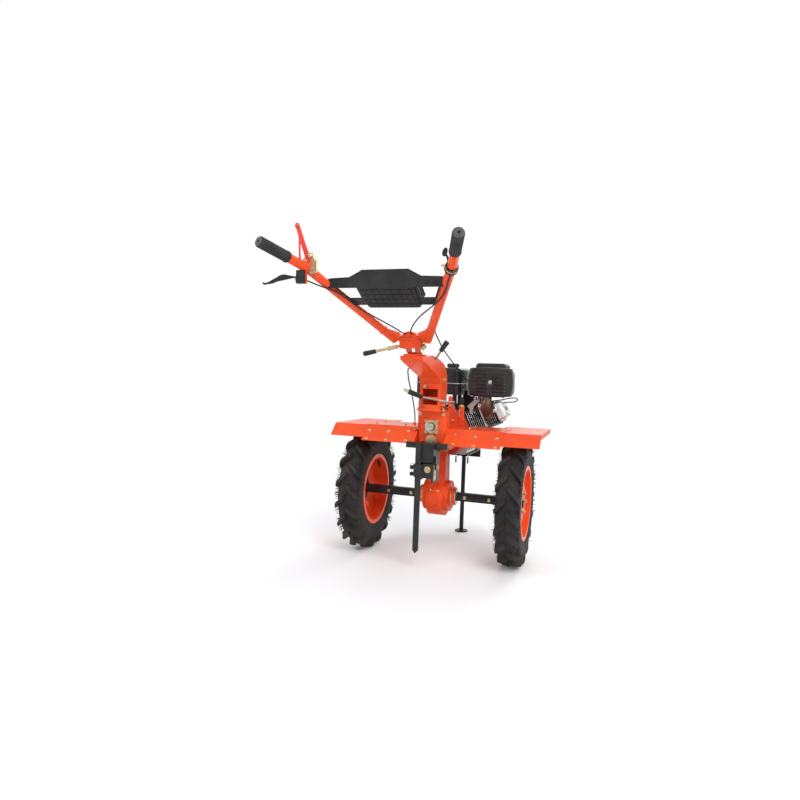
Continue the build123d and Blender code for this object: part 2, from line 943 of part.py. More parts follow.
with BuildPart() as clutch_bracket:
    with BuildSketch(facing_back(0, clutch_y + 0.1, 0)):
        with Locations((-244, 1188)):
            RectangleRounded(54, 62, 8)
    extrude(amount=-4)
    add(mirror(tube_right, about=Plane.YZ, mode=Mode.PRIVATE), mode=Mode.SUBTRACT)
pieces["clutch_bracket"] = clutch_bracket

# Lower black lever and its mount under the left tube
with BuildPart() as brake_mount:
    add(slab((-284, -892, 1124), (-254, -872, 1168)))
    add(mirror(tube_right, about=Plane.YZ, mode=Mode.PRIVATE), mode=Mode.SUBTRACT)
pieces["lever_mount"] = brake_mount
pieces["black_lever"] = rod([(-289, -882, 1144), (-312, -930, 1136), (-352, -985, 1110)], 5, 30)

# Throttle clamp and thumb lever on the right tube
throttle_at = bend_v - run * 30
with BuildPart() as throttle_clamp:
    with BuildSketch(Plane(origin=throttle_at, z_dir=run)):
        Circle(tube_r + 5)
        Circle(tube_r, mode=Mode.SUBTRACT)
    extrude(amount=22)
    add(tube_right, mode=Mode.SUBTRACT)
pieces["throttle_clamp"] = throttle_clamp
with BuildPart() as throttle_lever:
    add(rod([(240, -848, 1186), (246, -900, 1204), (259, -944, 1206)], 4.5, 30).part)
    add(throttle_clamp.part, mode=Mode.SUBTRACT)
    add(tube_right, mode=Mode.SUBTRACT)
pieces["throttle_lever"] = throttle_lever

# Locking and gear levers: a rod with a grip at its end
lever_elbow = Vector(-56, hinge_y, hinge_z)
lever_end = Vector(-207, hinge_y, 906)
lever_way = lever_end - lever_elbow
sleeve_start = lever_elbow + lever_way * 0.1
sleeve_end = lever_elbow + lever_way * 0.33
grip_start = lever_elbow + lever_way * 0.69
with BuildPart() as height_lever:
    add(rod([(-yoke_half - 3, hinge_y, hinge_z), lever_elbow, lever_end], 6, 40).part)
    add(bar(sleeve_start, sleeve_end, 9).part)
    add(bar(grip_start, lever_end, lever_grip_r).part)
pieces["height_lever"] = height_lever

swivel_foot = (column_half - 2, -300, 892)
swivel_end = (96, -300, 972)
swivel_grip = (69, -300, 932)
with BuildPart() as swivel_lever:
    add(bar(swivel_foot, swivel_end, 5).part)
    add(bar(swivel_grip, swivel_end, lever_grip_r).part)
    add(column.part, mode=Mode.SUBTRACT)
pieces["swivel_lever"] = swivel_lever

gear_bend = (-20, -262, 738)
gear_grip_end = (-68, -296, 760)
gear_end = (-85, -308, 768)
with BuildPart() as gear_lever:
    gear_way = [(box_half + 5.3, -118, 716), (92, -118, 716), (86, -205, 716), gear_bend, gear_grip_end]
    add(rod(gear_way, 5, 9).part)
    add(bar(gear_bend, gear_grip_end, lever_grip_r).part)
    add(bar(gear_grip_end, gear_end, 7).part)
pieces["gear_lever"] = gear_lever

with BuildPart() as oil_filler:
    with BuildSketch(Plane.XY.offset(620)):
        with Locations((76, 76)):
            Circle(11)
    extrude(amount=72)
    with BuildSketch(Plane.XY.offset(692)):
        with Locations((76, 76)):
            Circle(8)
    extrude(amount=42)
    add(clutch_bell.part, mode=Mode.SUBTRACT)
pieces["oil_filler"] = oil_filler

# Hitch bracket, its pins and the depth stake
with BuildPart() as hitch_bracket:
    add(slab((-hitch_half, hitch_rear, box_bottom - 7), (hitch_half, -100, box_bottom - seat)))
    for side in (-1, 1):
        left = min(side * hitch_half, side * (hitch_half - hitch_sheet))
        add(slab((left, hitch_rear, hitch_low), (left + hitch_sheet, box_rear - seat, hitch_top)))
    add(slab((-hitch_half, hitch_rear, 462), (hitch_half, hitch_rear + 6, hitch_top)))
    add(slab((-hitch_bar_half, -228, 516), (hitch_bar_half, -214, hitch_top)))
    add(slab((stake_x - 18, hitch_rear - 16, 398), (stake_x + 18, hitch_rear, 452)))
    with BuildSketch(Plane.XY.offset(390)):
        with Locations((stake_x, hitch_rear - stake_thick / 2 - seat)):
            Rectangle(stake_wide + 2 * seat, stake_thick + 2 * seat)
    extrude(amount=80, mode=Mode.SUBTRACT)
    with BuildSketch(across(-hitch_half - 1, 0, 0)):
        with Locations((-226, 400), (-226, 440)):
            Circle(pin_r + seat)
    extrude(amount=2 * hitch_half + 2, mode=Mode.SUBTRACT)
pieces["hitch_bracket"] = hitch_bracket

with BuildPart() as hitch_pin:
    with BuildSketch(across(-hitch_half - 14, 0, 0)):
        with Locations((-226, 440)):
            Circle(pin_r)
    extrude(amount=2 * hitch_half + 24)
pieces["hitch_pin"] = hitch_pin

with BuildPart() as depth_stake:
    with BuildSketch(facing_back(0, hitch_rear - seat, 0)):
        with BuildLine():
            Polyline(
                (stake_x - stake_wide / 2, stake_top),
                (stake_x + stake_wide / 2, stake_top),
                (stake_x + stake_wide / 2, stake_low + 14),
                (stake_x, stake_low),
                (stake_x - stake_wide / 2, stake_low + 14),
                close=True,
            )
        make_face()
    extrude(amount=stake_thick)
pieces["depth_stake"] = depth_stake

# Control cables: two from the handlebar's ends into the head, the throttle cable from
# the right tube to the carburettor, and one from the column to its stop on the gearbox
outward = Vector(1, 0, 0) * run.dot(slope_way) - slope_way * run.X


def beside(d, out, below):
    """A point by the right tube: d back from its bend, out to the right, below its slope."""
    return bend_v - run * d + outward * out + slope.z_dir * below


dome_top = arch_z + yoke_half - 9
pieces["left_cable"] = cable(
    [
        (-267, -872, 1140),
        (-267, -844, 1140),
        (-232, -818, 1125),
        (-184, -777, 1111),
        (-160, -722, 1086),
        (-135, -673, 1061),
        (-102, -624, 1039),
        (-68, -590, 1019),
        (-38, -560, 1001),
        (-14, -536, dome_top),
        (-14, yoke_rear, dome_top),
    ]
)
pieces["right_cable"] = cable(
    [
        beside(30, 1, 18.7),
        beside(64, 1, 18.7),
        (211, -778, 1104),
        (179, -738, 1083),
        (152, -712, 1069),
        (126, -680, 1060),
        (90, -636, 1048),
        (56, -595, 1032),
        (28, -562, 1010),
        (10, -536, dome_top),
        (10, yoke_rear, dome_top),
    ]
)
cable_joint = Vector(90, -490, 1006)
rear_last = beside(385, -9, -20)
front_first = cable_joint + (cable_joint - rear_last) * 0.9
pieces["throttle_cable_rear"] = cable(
    [
        beside(30, 7, -17.2),
        beside(74, 7, -17.2),
        beside(126, 9, -19),
        beside(180, 7, -20.5),
        beside(236, 9.5, -19),
        beside(290, 6, -20.5),
        beside(340, 2, -21),
        rear_last,
        cable_joint,
    ]
)
pieces["throttle_cable_front"] = cable(
    [
        cable_joint,
        front_first,
        (74, -384, 984),
        (66, -324, 972),
        (59, -262, 955),
        (57, -195, 934),
        (58, -135, 914),
        (60, -75, 895),
        (61, -15, 876),
        (62, 45, 858),
        (64, 105, 838),
        (66, 160, 822),
        (69, 212, 811),
        (72, 262, 800),
        (69, 298, 768),
        (64, 322, 731),
        (72, 338, 705),
        (104, 338, 705),
    ]
)
stop_top = ear_z + ear_stop
pieces["column_cable"] = cable(
    [
        (-column_half, -305, 862),
        (-70, -305, 862),
        (-76, -283, 829),
        (-78, -253, 790),
        (-78, -215, 750),
        (-79, -183, 702),
        (ear_x, box_rear - 6, stop_top + 34),
        (ear_x, box_rear - 6, stop_top),
    ]
)

for name in ("tyre", "rim", "axle", "fender", "bracket", "handle_tube", "grip"):
    with BuildPart() as other:
        mirror(pieces[name + "_right"].part, about=Plane.YZ)
    pieces[name + "_left"] = other

for label, piece in pieces.items():
    piece.part.label = label
    export_step(piece.part, f"parts/{label}.step")
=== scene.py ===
import bmesh
import bpy
import numpy as np
from mathutils import Matrix, Vector


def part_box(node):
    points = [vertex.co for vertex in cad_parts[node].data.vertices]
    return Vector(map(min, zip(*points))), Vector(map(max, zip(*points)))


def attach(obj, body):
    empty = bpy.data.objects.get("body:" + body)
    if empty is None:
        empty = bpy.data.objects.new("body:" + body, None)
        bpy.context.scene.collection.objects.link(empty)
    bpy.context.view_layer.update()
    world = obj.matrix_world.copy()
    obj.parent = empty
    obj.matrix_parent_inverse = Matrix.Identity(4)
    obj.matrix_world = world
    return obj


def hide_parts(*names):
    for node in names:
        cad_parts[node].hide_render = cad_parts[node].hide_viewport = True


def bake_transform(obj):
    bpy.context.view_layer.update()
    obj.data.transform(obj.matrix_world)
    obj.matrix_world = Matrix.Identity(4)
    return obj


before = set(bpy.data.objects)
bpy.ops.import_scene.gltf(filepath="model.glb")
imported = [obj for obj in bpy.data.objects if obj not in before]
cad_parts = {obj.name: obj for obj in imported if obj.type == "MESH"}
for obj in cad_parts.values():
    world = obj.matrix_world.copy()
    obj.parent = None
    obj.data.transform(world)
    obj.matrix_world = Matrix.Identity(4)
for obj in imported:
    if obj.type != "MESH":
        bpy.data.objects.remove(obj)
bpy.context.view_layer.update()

# Camera
# It stands behind the machine and to its right, about as high as the column, and leans
# a little to one side. Place, aim and lens were solved from the wheels and the handlebar.
camera_place = Vector((0.760, -2.770, 0.821))
camera_turn, camera_dip, camera_lean = 0.3356, 0.0379, -0.0354
focal_pixels, picture_pixels, sensor_width = 621.2, 800, 36
level = Vector((np.cos(camera_turn), np.sin(camera_turn), 0))
ahead = np.array([-np.sin(camera_turn), np.cos(camera_turn), 0]) * np.cos(camera_dip)
look = Vector(ahead - (0, 0, np.sin(camera_dip)))
down = look.cross(level)
right = np.cos(camera_lean) * level + np.sin(camera_lean) * down
upward = np.sin(camera_lean) * level - np.cos(camera_lean) * down
camera_data = bpy.data.cameras.new("camera")
camera_data.sensor_width = sensor_width
camera_data.lens = focal_pixels * sensor_width / picture_pixels
camera = bpy.data.objects.new("camera", camera_data)
scene = bpy.context.scene
scene.collection.objects.link(camera)
turn = Matrix((right, upward, -look)).transposed().to_4x4()
camera.matrix_world = Matrix.Translation(camera_place) @ turn
scene.camera = camera

# Studio
# A white floor that fades into a white backdrop, three large soft lamps and a white sky,
# which is a little dimmer and bluer where it lights the machine than where it is seen.
scene.view_settings.view_transform = "Standard"


def node(tree, kind, inputs=None):
    """A new shader node in the tree, with the given inputs set."""
    new = tree.nodes.new("ShaderNode" + kind)
    for name, value in (inputs or {}).items():
        new.inputs[name].default_value = value
    return new


def wire(tree, *links):
    """Links in the tree, each from a node's output to another node's input."""
    for source, output, target, place in links:
        tree.links.new(source.outputs[output], target.inputs[place])


world = bpy.data.worlds.new("studio")
scene.world = world
world.use_nodes = True
tree = world.node_tree
tree.nodes.clear()
sky = node(tree, "Background", {"Color": (0.94, 0.96, 1.0, 1), "Strength": 0.62})
white = node(tree, "Background", {"Color": (1, 1, 1, 1), "Strength": 1.0})
path = node(tree, "LightPath")
seen = node(tree, "Math")
seen.operation = "MAXIMUM"
mix = node(tree, "MixShader")
wire(tree, (path, "Is Camera Ray", seen, 0), (path, "Is Glossy Ray", seen, 1))
wire(tree, (seen, 0, mix, 0), (sky, 0, mix, 1), (white, 0, mix, 2))
wire(tree, (mix, 0, node(tree, "OutputWorld"), 0))

reach = 60.0
floor_mesh = bpy.data.meshes.new("floor")
corners = [(-reach, -reach, 0), (reach, -reach, 0), (reach, reach, 0), (-reach, reach, 0)]
floor_mesh.from_pydata(corners, [], [(0, 1, 2, 3)])
floor = bpy.data.objects.new("floor", floor_mesh)
scene.collection.objects.link(floor)
floor_paint = bpy.data.materials.new("floor_white")
floor_paint.use_nodes = True
floor_mesh.materials.append(floor_paint)
tree = floor_paint.node_tree
matt = tree.nodes["Principled BSDF"]
matt.inputs["Base Color"].default_value = (0.93, 0.93, 0.93, 1)
matt.inputs["Roughness"].default_value = 0.6
matt.inputs["Specular IOR Level"].default_value = 0.2
far = node(tree, "VectorMath")
far.operation = "LENGTH"
fade_starts, fade_ends = 1.0, 3.2
fade = node(tree, "MapRange", {"From Min": fade_starts, "From Max": fade_ends})
fade.interpolation_type = "SMOOTHSTEP"
shown = node(tree, "Math")
shown.operation = "MULTIPLY"
blend = node(tree, "MixShader")
glow = node(tree, "Emission", {"Color": (1, 1, 1, 1)})
wire(tree, (node(tree, "TexCoord"), "Object", far, 0), (far, "Value", fade, "Value"))
wire(tree, (fade, "Result", shown, 0), (node(tree, "LightPath"), "Is Camera Ray", shown, 1))
wire(tree, (shown, 0, blend, 0), (matt, 0, blend, 1), (glow, 0, blend, 2))
wire(tree, (blend, 0, tree.nodes["Material Output"], "Surface"))


def lamp(name, place, aim, size, power):
    """A square soft lamp at place, turned to face aim."""
    data = bpy.data.lights.new(name, "AREA")
    data.shape = "SQUARE"
    data.size = size
    data.energy = power
    thing = bpy.data.objects.new(name, data)
    scene.collection.objects.link(thing)
    thing.location = place
    thing.rotation_euler = (Vector(aim) - Vector(place)).to_track_quat("-Z", "Y").to_euler()


lamp("key", (2.6, -3.4, 3.6), (0, 0, 0.5), 2.6, 150)
lamp("fill", (-3.4, -1.6, 2.4), (0, 0, 0.6), 2.6, 60)
lamp("rim", (0.8, 3.6, 3.2), (0, 0, 0.6), 2.4, 90)


# Cables
# Five control cables, each a steel wire in a smooth black plastic sheath 5 mm thick.
# Clips hold them to the tubes; the throttle cable is in two pieces that stay put where the handlebar
# turns.
def finish(name, slot, colour, other, patch, rough, metal=0.0, coat=0.0, grain=500, depth=2e-5):
    """A finish on object coordinates, returned with its slot's name. Soft clouds, patch to the
    metre, mix colour with other and move the roughness a little each way; fine grain, grain to the
    metre and depth metres high, gives the bump."""
    material = bpy.data.materials.new(name)
    material.use_nodes = True
    tree = material.node_tree
    shader = tree.nodes["Principled BSDF"]
    shader.inputs["Metallic"].default_value = metal
    shader.inputs["Coat Weight"].default_value = coat
    shader.inputs["Coat Roughness"].default_value = 0.12
    shader.inputs["Specular IOR Level"].default_value = 0.18
    at = node(tree, "TexCoord")
    clouds = node(tree, "TexNoise", {"Scale": patch, "Detail": 5, "Roughness": 0.6})
    tint = node(tree, "ValToRGB")
    for stop, position, shade in zip(tint.color_ramp.elements, (0.38, 0.62), (other, colour)):
        stop.position = position
        stop.color = (*shade, 1)
    rougher, smoother = min(1.0, rough + 0.09), max(0.05, rough - 0.09)
    gloss = node(tree, "MapRange", {"To Min": rougher, "To Max": smoother})
    peel = node(tree, "TexNoise", {"Scale": grain, "Detail": 2})
    bump = node(tree, "Bump", {"Strength": 1.0, "Distance": depth})
    wire(tree, (at, "Object", clouds, "Vector"), (at, "Object", peel, "Vector"))
    wire(tree, (clouds, "Fac", tint, "Fac"), (tint, "Color", shader, "Base Color"))
    wire(tree, (clouds, "Fac", gloss, "Value"), (gloss, "Result", shader, "Roughness"))
    wire(tree, (peel, "Fac", bump, "Height"), (bump, "Normal", shader, "Normal"))
    return material, slot


cable_r = 0.0025
cable_look = (0.018, 0.018, 0.019), (0.03, 0.03, 0.031), 30, 0.42
sheath = finish("cable_sheath", "black_plastic", *cable_look)


def cable(name, body, route, bends=None):
    """A cable on one smooth NURBS line of order 3 through its route, with a round section.
    Given bends, it becomes a fixed mesh on no body; the bodies and points in bends go unused."""
    data = bpy.data.curves.new(name + "_line", "CURVE")
    data.dimensions = "3D"
    data.resolution_u = 10
    line = data.splines.new("NURBS")
    line.points.add(len(route) - 1)
    line.points.foreach_set("co", np.c_[route, np.ones(len(route))].ravel())
    line.order_u = 3
    line.use_endpoint_u = True
    piece = bpy.data.objects.new(name + "_sheath", data)
    scene.collection.objects.link(piece)
    data.materials.append(sheath[0])
    if bends:
        bare = bpy.data.meshes.new_from_object(piece)
    data.bevel_depth = cable_r
    data.bevel_resolution = 3
    data.use_fill_caps = True
    if bends:
        bpy.context.view_layer.update()
        tube = bpy.data.meshes.new_from_object(piece)
        bpy.data.objects.remove(piece)
        piece = bpy.data.objects.new(name + "_sheath", tube)
        scene.collection.objects.link(piece)
        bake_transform(piece)
    else:
        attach(piece, body)
    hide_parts(name)


left_route = [
    (-0.267, -0.872, 1.140), (-0.267, -0.844, 1.140), (-0.232, -0.818, 1.125),
    (-0.184, -0.777, 1.111), (-0.160, -0.722, 1.086), (-0.135, -0.673, 1.061),
    (-0.102, -0.624, 1.039), (-0.068, -0.590, 1.019), (-0.038, -0.560, 1.001),
    (-0.014, -0.536, 0.984), (-0.014, -0.508, 0.984),
]
cable("left_cable", "handlebar", left_route)
right_route = [
    (0.2441, -0.8507, 1.1481), (0.2306, -0.8234, 1.1329), (0.211, -0.778, 1.104),
    (0.179, -0.738, 1.083), (0.152, -0.712, 1.069), (0.126, -0.680, 1.060),
    (0.090, -0.636, 1.048), (0.056, -0.595, 1.032), (0.028, -0.562, 1.010),
    (0.010, -0.536, 0.984), (0.010, -0.508, 0.984),
]
cable("right_cable", "handlebar", right_route)
cable_joint = (0.090, -0.490, 1.006)
rear_route = [
    (0.2496, -0.8311, 1.1783), (0.2322, -0.7958, 1.1586), (0.2135, -0.7525, 1.1365),
    (0.1903, -0.7092, 1.1141), (0.1705, -0.6641, 1.0872), (0.1460, -0.6212, 1.0651),
    (0.1225, -0.5822, 1.0439), (0.0947, -0.5504, 1.0250), cable_joint,
]
rear_bends = ("swivel_head", "handlebar", cable_joint, rear_route[6])
cable("throttle_cable_rear", "handlebar", rear_route, rear_bends)
front_route = [
    cable_joint, (0.0858, -0.4356, 0.9889), (0.074, -0.384, 0.984), (0.066, -0.324, 0.972),
    (0.059, -0.262, 0.955), (0.057, -0.195, 0.934), (0.058, -0.135, 0.914),
    (0.060, -0.075, 0.895), (0.061, -0.015, 0.876), (0.062, 0.045, 0.858),
    (0.064, 0.105, 0.838), (0.066, 0.160, 0.822), (0.069, 0.212, 0.811),
    (0.072, 0.262, 0.800), (0.069, 0.298, 0.768), (0.064, 0.322, 0.731),
    (0.072, 0.338, 0.705), (0.104, 0.338, 0.705),
]
front_bends = ("chassis", "swivel_head", front_route[6], cable_joint)
cable("throttle_cable_front", "chassis", front_route, front_bends)
column_route = [
    (-0.046, -0.305, 0.862), (-0.070, -0.305, 0.862), (-0.076, -0.283, 0.829),
    (-0.078, -0.253, 0.790), (-0.078, -0.215, 0.750), (-0.079, -0.183, 0.702),
    (-0.077, -0.161, 0.656), (-0.077, -0.161, 0.622),
]
cable("column_cable", "chassis", column_route)

# Tyres
# Ladder-tread farm tyres of charcoal rubber: a round casing, 17 bars a side that meet in
# arrows, a rim guard ridge on each wall, and the thin hairs that the mould's vents leave.
mm = 0.001
east, north, up = np.eye(3)
axle = np.array([0.0, 0.0, 280.0])
wheel_x = 355
wheel_mid = axle + wheel_x * east


def unit(way):
    """The way as a vector one long."""
    return np.asarray(way, float) / np.linalg.norm(way)


def ring_faces(rows, columns, round_rows=False, round_columns=True):
    """The four-cornered faces of a grid of points, rows by columns, joined round where it says."""
    starts = np.arange(rows - (not round_rows)), np.arange(columns - (not round_columns))
    row, column = np.meshgrid(*starts, indexing="ij")
    next_row, next_column = (row + 1) % rows, (column + 1) % columns
    corners = [(row, column), (row, next_column), (next_row, next_column), (next_row, column)]
    return np.stack([a * columns + b for a, b in corners], -1).reshape(-1, 4)


def capped(rows, columns):
    """The faces of a closed tube of points: its rings joined, and a flat face at each end."""
    ends = [np.arange(columns)[::-1], np.arange(columns) + columns * (rows - 1)]
    return [*ring_faces(rows, columns), *ends]


def joined(*solids):
    """Several solids as one: points one after another, faces counted on from each start."""
    starts = np.cumsum([0] + [len(points) for points, _ in solids])
    points = np.concatenate([points for points, _ in solids])
    groups = zip(starts, [faces for _, faces in solids])
    return points, [np.asarray(face) + start for start, faces in groups for face in faces]


def made(name, solids, surface, nodes=(), body="chassis", sharp=0.6):
    """An object from the solids, which are in millimetres like every size from here on. Its
    doubles are merged, its faces turned outward, and edges under the sharp angle shaded smooth.
    It has the surface's finish, not its slot, rides the body and stands for the nodes."""
    points, faces = joined(*solids)
    material, own_slot = surface
    mesh = bpy.data.meshes.new(name)
    mesh.from_pydata((points * mm).tolist(), [], [face.tolist() for face in faces])
    work = bmesh.new()
    work.from_mesh(mesh)
    bmesh.ops.remove_doubles(work, verts=work.verts, dist=1e-6)
    bmesh.ops.recalc_face_normals(work, faces=work.faces)
    work.to_mesh(mesh)
    work.free()
    mesh.shade_smooth()
    mesh.set_sharp_from_angle(angle=sharp)
    mesh.materials.append(material)
    piece = bpy.data.objects.new(name, mesh)
    scene.collection.objects.link(piece)
    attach(piece, body)
    if nodes:
        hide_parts(*nodes)
    return piece


def mirrored(solid):
    """The solid on the machine's other side: every point with its x turned over."""
    return solid[0] * (-1, 1, 1), solid[1]


def bowed(points, steps=8):
    """A smooth curve through the points (Catmull-Rom): between two of them, a cubic whose
    slope at each is half the chord from the point before to the point after."""
    p = np.asarray(points, float)
    p = np.concatenate([[2 * p[0] - p[1]], p, [2 * p[-1] - p[-2]]])
    t = np.linspace(0, 1, steps, endpoint=False)[None, :, None]
    a, b, c, d = (p[k : len(p) - 3 + k, None] for k in range(4))
    curve = 0.5 * (
        2 * b + (c - a) * t + (2 * a - 5 * b + 4 * c - d) * t**2 + (3 * b - a - 3 * c + d) * t**3
    )
    return np.concatenate([curve.reshape(-1, p.shape[1]), p[-2:-1]])


def square_to(way):
    """Two directions square to the way and to each other."""
    helper = up if abs(way[2]) < 0.9 else east
    u = unit(np.cross(helper, way))
    return u, np.cross(way, u)


def revolved(origin, way, profile, sides=32, closed=False):
    """A turned form. Each (along, radius) of the profile is carried round the axis: its point
    is origin + along * way + radius * (cos t * u + sin t * v). Flat ends are filled."""
    way = unit(way)
    u, v = square_to(way)
    profile = np.asarray(profile, float)
    t = np.linspace(0, 2 * np.pi, sides, endpoint=False)[None, :, None]
    along, radius = profile.T[:, :, None, None]
    points = np.asarray(origin) + along * way + radius * (np.cos(t) * u + np.sin(t) * v)
    count = len(profile)
    faces = list(ring_faces(count, sides, round_rows=True)) if closed else capped(count, sides)
    return points.reshape(-1, 3), faces


# The casing's section on one side, with a guard ridge and a fine line as bell curves.
tyre_wall = [(-44, 155), (-46.5, 168), (-49, 176), (-50.5, 190), (-52.6, 208), (-51, 228)]
tyre_side = bowed(tyre_wall + [(-43, 245), (-28, 256), (-10, 260.3)], 7)
guard_r, shoulder_r, tread_r = 177, 232, 270
guard_ridge = 1.6 * np.exp(-(((tyre_side[:, 1] - guard_r) / 2.2) ** 2))
wall_ridge = 0.7 * np.exp(-(((tyre_side[:, 1] - shoulder_r) / 1.5) ** 2))
tyre_side[:, 0] -= guard_ridge + wall_ridge
casing = np.concatenate([tyre_side, tyre_side[::-1] * (-1, 1)])
tyre = [revolved(wheel_mid, east, casing, 204, closed=True)]

# A lug on a grid: u runs from the middle plane out to the shoulder, v across the lug. The
# radius climbs from base to tip by the rise, and the arc sweeps back as u grows.
lug_u = np.r_[0, 0.02, 0.06, np.linspace(0.14, 0.86, 9), 0.93, 0.975, 1][:, None]
lug_v = np.array([-1, -0.93, -0.82, -0.74, -0.6, 0.0, 0.6, 0.74, 0.82, 0.93, 1])[None, :]
lug_rise = np.array([0, 0.45, 0.88, 0.98, 1, 1, 1, 0.98, 0.88, 0.45, 0])[None, :]
lug_across = 1.5 + 50.5 * lug_u
lug_base = np.interp(lug_across, [0, 10, 28, 43, 51, 53], [260, 260, 256, 245, 228, 214]) - 3
lug_tip = np.interp(lug_across, [0, 30, 46, 50, 52], [279, 278.6, 275.5, 268, 250])
lug_end = np.clip(np.minimum(lug_u / 0.03, (1 - lug_u) / 0.02), 0, 1)
lug_radius = lug_base + (lug_tip - lug_base) * lug_rise * lug_end
lug_half = 13.5 - 2.5 * lug_rise + 2.0 * lug_u
lug_angle = (26 - 50 * lug_u**1.12 + lug_v * lug_half) / tread_r
lug_faces = ring_faces(lug_u.size, lug_v.size, round_columns=False)
lugs_a_side = 17
for side, shift in ((1, 0.5), (-1, 0.0)):
    for k in range(lugs_a_side):
        at = lug_angle + 2 * np.pi * (k + shift) / lugs_a_side
        lug_x = np.broadcast_to(side * lug_across, lug_radius.shape)
        lug = np.stack([lug_x, lug_radius * np.sin(at), lug_radius * np.cos(at)], -1)
        tyre.append((lug.reshape(-1, 3) + wheel_mid, lug_faces))

# Hairs: thin cones at random places of both shoulders, leaning out, but none on the ground.
hairs = np.random.default_rng(7)
hair_count = 760
hair_angle = hairs.uniform(0, 2 * np.pi, hair_count)
hair_side = hairs.choice([-1, 1], hair_count)
hair_low = hairs.uniform(0, 1, hair_count)
hair_long = hairs.uniform(8, 20, hair_count)
near_ground = -0.86
for angle, side, low, long in zip(hair_angle, hair_side, hair_low, hair_long):
    if np.cos(angle) < near_ground:
        continue
    out = np.array([0, np.sin(angle), np.cos(angle)])
    foot = wheel_mid + side * (50.5 - 7 * low) * east + out * (shoulder_r + 26 * low)
    stray = hairs.normal(0, 0.2, 3)
    way = unit(out * (0.5 + low) + side * (1 - 0.5 * low) * east + stray)
    tyre.append(revolved(foot, way, [(-3, 0.9), (long * 0.6, 0.7), (long, 0.2)], 4))

rubber_look = (0.020, 0.0185, 0.0175), (0.040, 0.035, 0.031), 9, 0.72
rubber = finish("tyre_rubber", "tyre_rubber", *rubber_look, grain=700, depth=1e-4)
tyre = joined(*tyre)
made("tyre_right_tread", [tyre], rubber, ["tyre_right"], "wheel_right")
made("tyre_left_tread", [mirrored(tyre)], rubber, ["tyre_left"], "wheel_left")

# Rims
# Pressed steel rims in gloss orange: a rolled lip on each flange, the weld that holds the
# dished disc, a rubber valve, and zinc bolts with washers that clamp the hub flange.
paint, shade, deep_shade = (0.84, 0.088, 0.020), (0.74, 0.068, 0.014), (0.66, 0.050, 0.011)
zinc_look = (0.60, 0.50, 0.25), (0.50, 0.36, 0.24), 45, 0.32
steel_look = (0.56, 0.55, 0.53), (0.40, 0.39, 0.37), 30, 0.36
orange_look, cast_look = (paint, shade, 5, 0.3), (paint, deep_shade, 11, 0.42)
orange = finish("orange_paint", "orange_paint", *orange_look, coat=0.12, grain=420, depth=3e-5)
cast_orange = finish("cast_orange", "cast_orange", *cast_look, coat=0.06, grain=260, depth=2.5e-4)
zinc = finish("zinc_plate", "zinc_plate", *zinc_look, metal=0.9, grain=900)
steel = finish("bare_steel", "bare_steel", *steel_look, metal=0.95, grain=800)


def dress(surface, *nodes):
    """Gives the surface's material to every slot of these CAD nodes."""
    for name in nodes:
        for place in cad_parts[name].material_slots:
            place.material = surface[0]


def bolt(place, way, wide=13, high=8, washer=True, stud=0):
    """A hexagon bolt head, its corners rounded off on top, on a washer; stud is the length
    of thread that stands past it. The place lies on the carrying face."""
    under = 1.6 if washer else 0
    corner = wide / np.sqrt(3)
    head = [(under - 2, corner), (under + high * 0.8, corner), (under + high, corner * 0.84)]
    solids = [revolved(place, way, head, 6)]
    if washer:
        disc = [(-1, wide * 0.82), (1.3, wide * 0.82), (1.6, wide * 0.78)]
        solids.append(revolved(place, way, disc, 20))
    if stud:
        turns = np.linspace(under + high - 1, under + high + stud, 2 * stud + 1)
        radii = wide * 0.28 + 0.35 * (-1) ** np.arange(turns.size)
        solids.append(revolved(place, way, np.c_[turns, radii], 10))
    return joined(*solids)


def ringed(centre, way, count, radius, start=0.0):
    """Points spread evenly round a centre, radius away, square to way."""
    u, v = square_to(unit(way))
    t = start + 2 * np.pi * np.arange(count)[:, None] / count
    return np.asarray(centre) + radius * (np.cos(t) * u + np.sin(t) * v)


def torus(centre, way, radius, thick, sides=96):
    """A ring of round wire: a circle of half thickness thick carried round the way."""
    t = np.linspace(0, 2 * np.pi, 12, endpoint=False)
    wire = np.c_[thick * np.sin(t), radius + thick * np.cos(t)]
    return revolved(centre, way, wire, sides, closed=True)


flange_lip, disc_weld = 164.4, 148.6
rim_rings = [(-46.4, flange_lip, 2.4), (46.4, flange_lip, 2.4)]
rim_rings += [(12.5, disc_weld, 1.8), (5.5, disc_weld, 1.6)]
rim_trim = joined(*[torus(wheel_mid + x * east, east, r, wire) for x, r, wire in rim_rings])
hub_face = wheel_mid + 31 * east
hub_bolts = joined(*[bolt(p, east, 17, 9, stud=3) for p in ringed(hub_face, east, 5, 44)])
valve_place = wheel_mid + (-18, 148 * 0.6, 148 * 0.8)
valve_stem = [(-2, 8), (2, 8), (5, 5.5), (20, 4.6), (22, 4), (23, 4.2), (33, 4.2), (34, 3)]
valve = revolved(valve_place, (-0.45, -0.6, -0.8), valve_stem, 16)
for name, flip in (("right", lambda solid: solid), ("left", mirrored)):
    made("rim_lips_" + name, [flip(rim_trim)], orange, body="wheel_" + name)
    made("wheel_bolts_" + name, [flip(hub_bolts)], zinc, body="wheel_" + name)
    made("valve_" + name, [flip(valve)], rubber, body="wheel_" + name)
dress(orange, "rim_left", "rim_right")

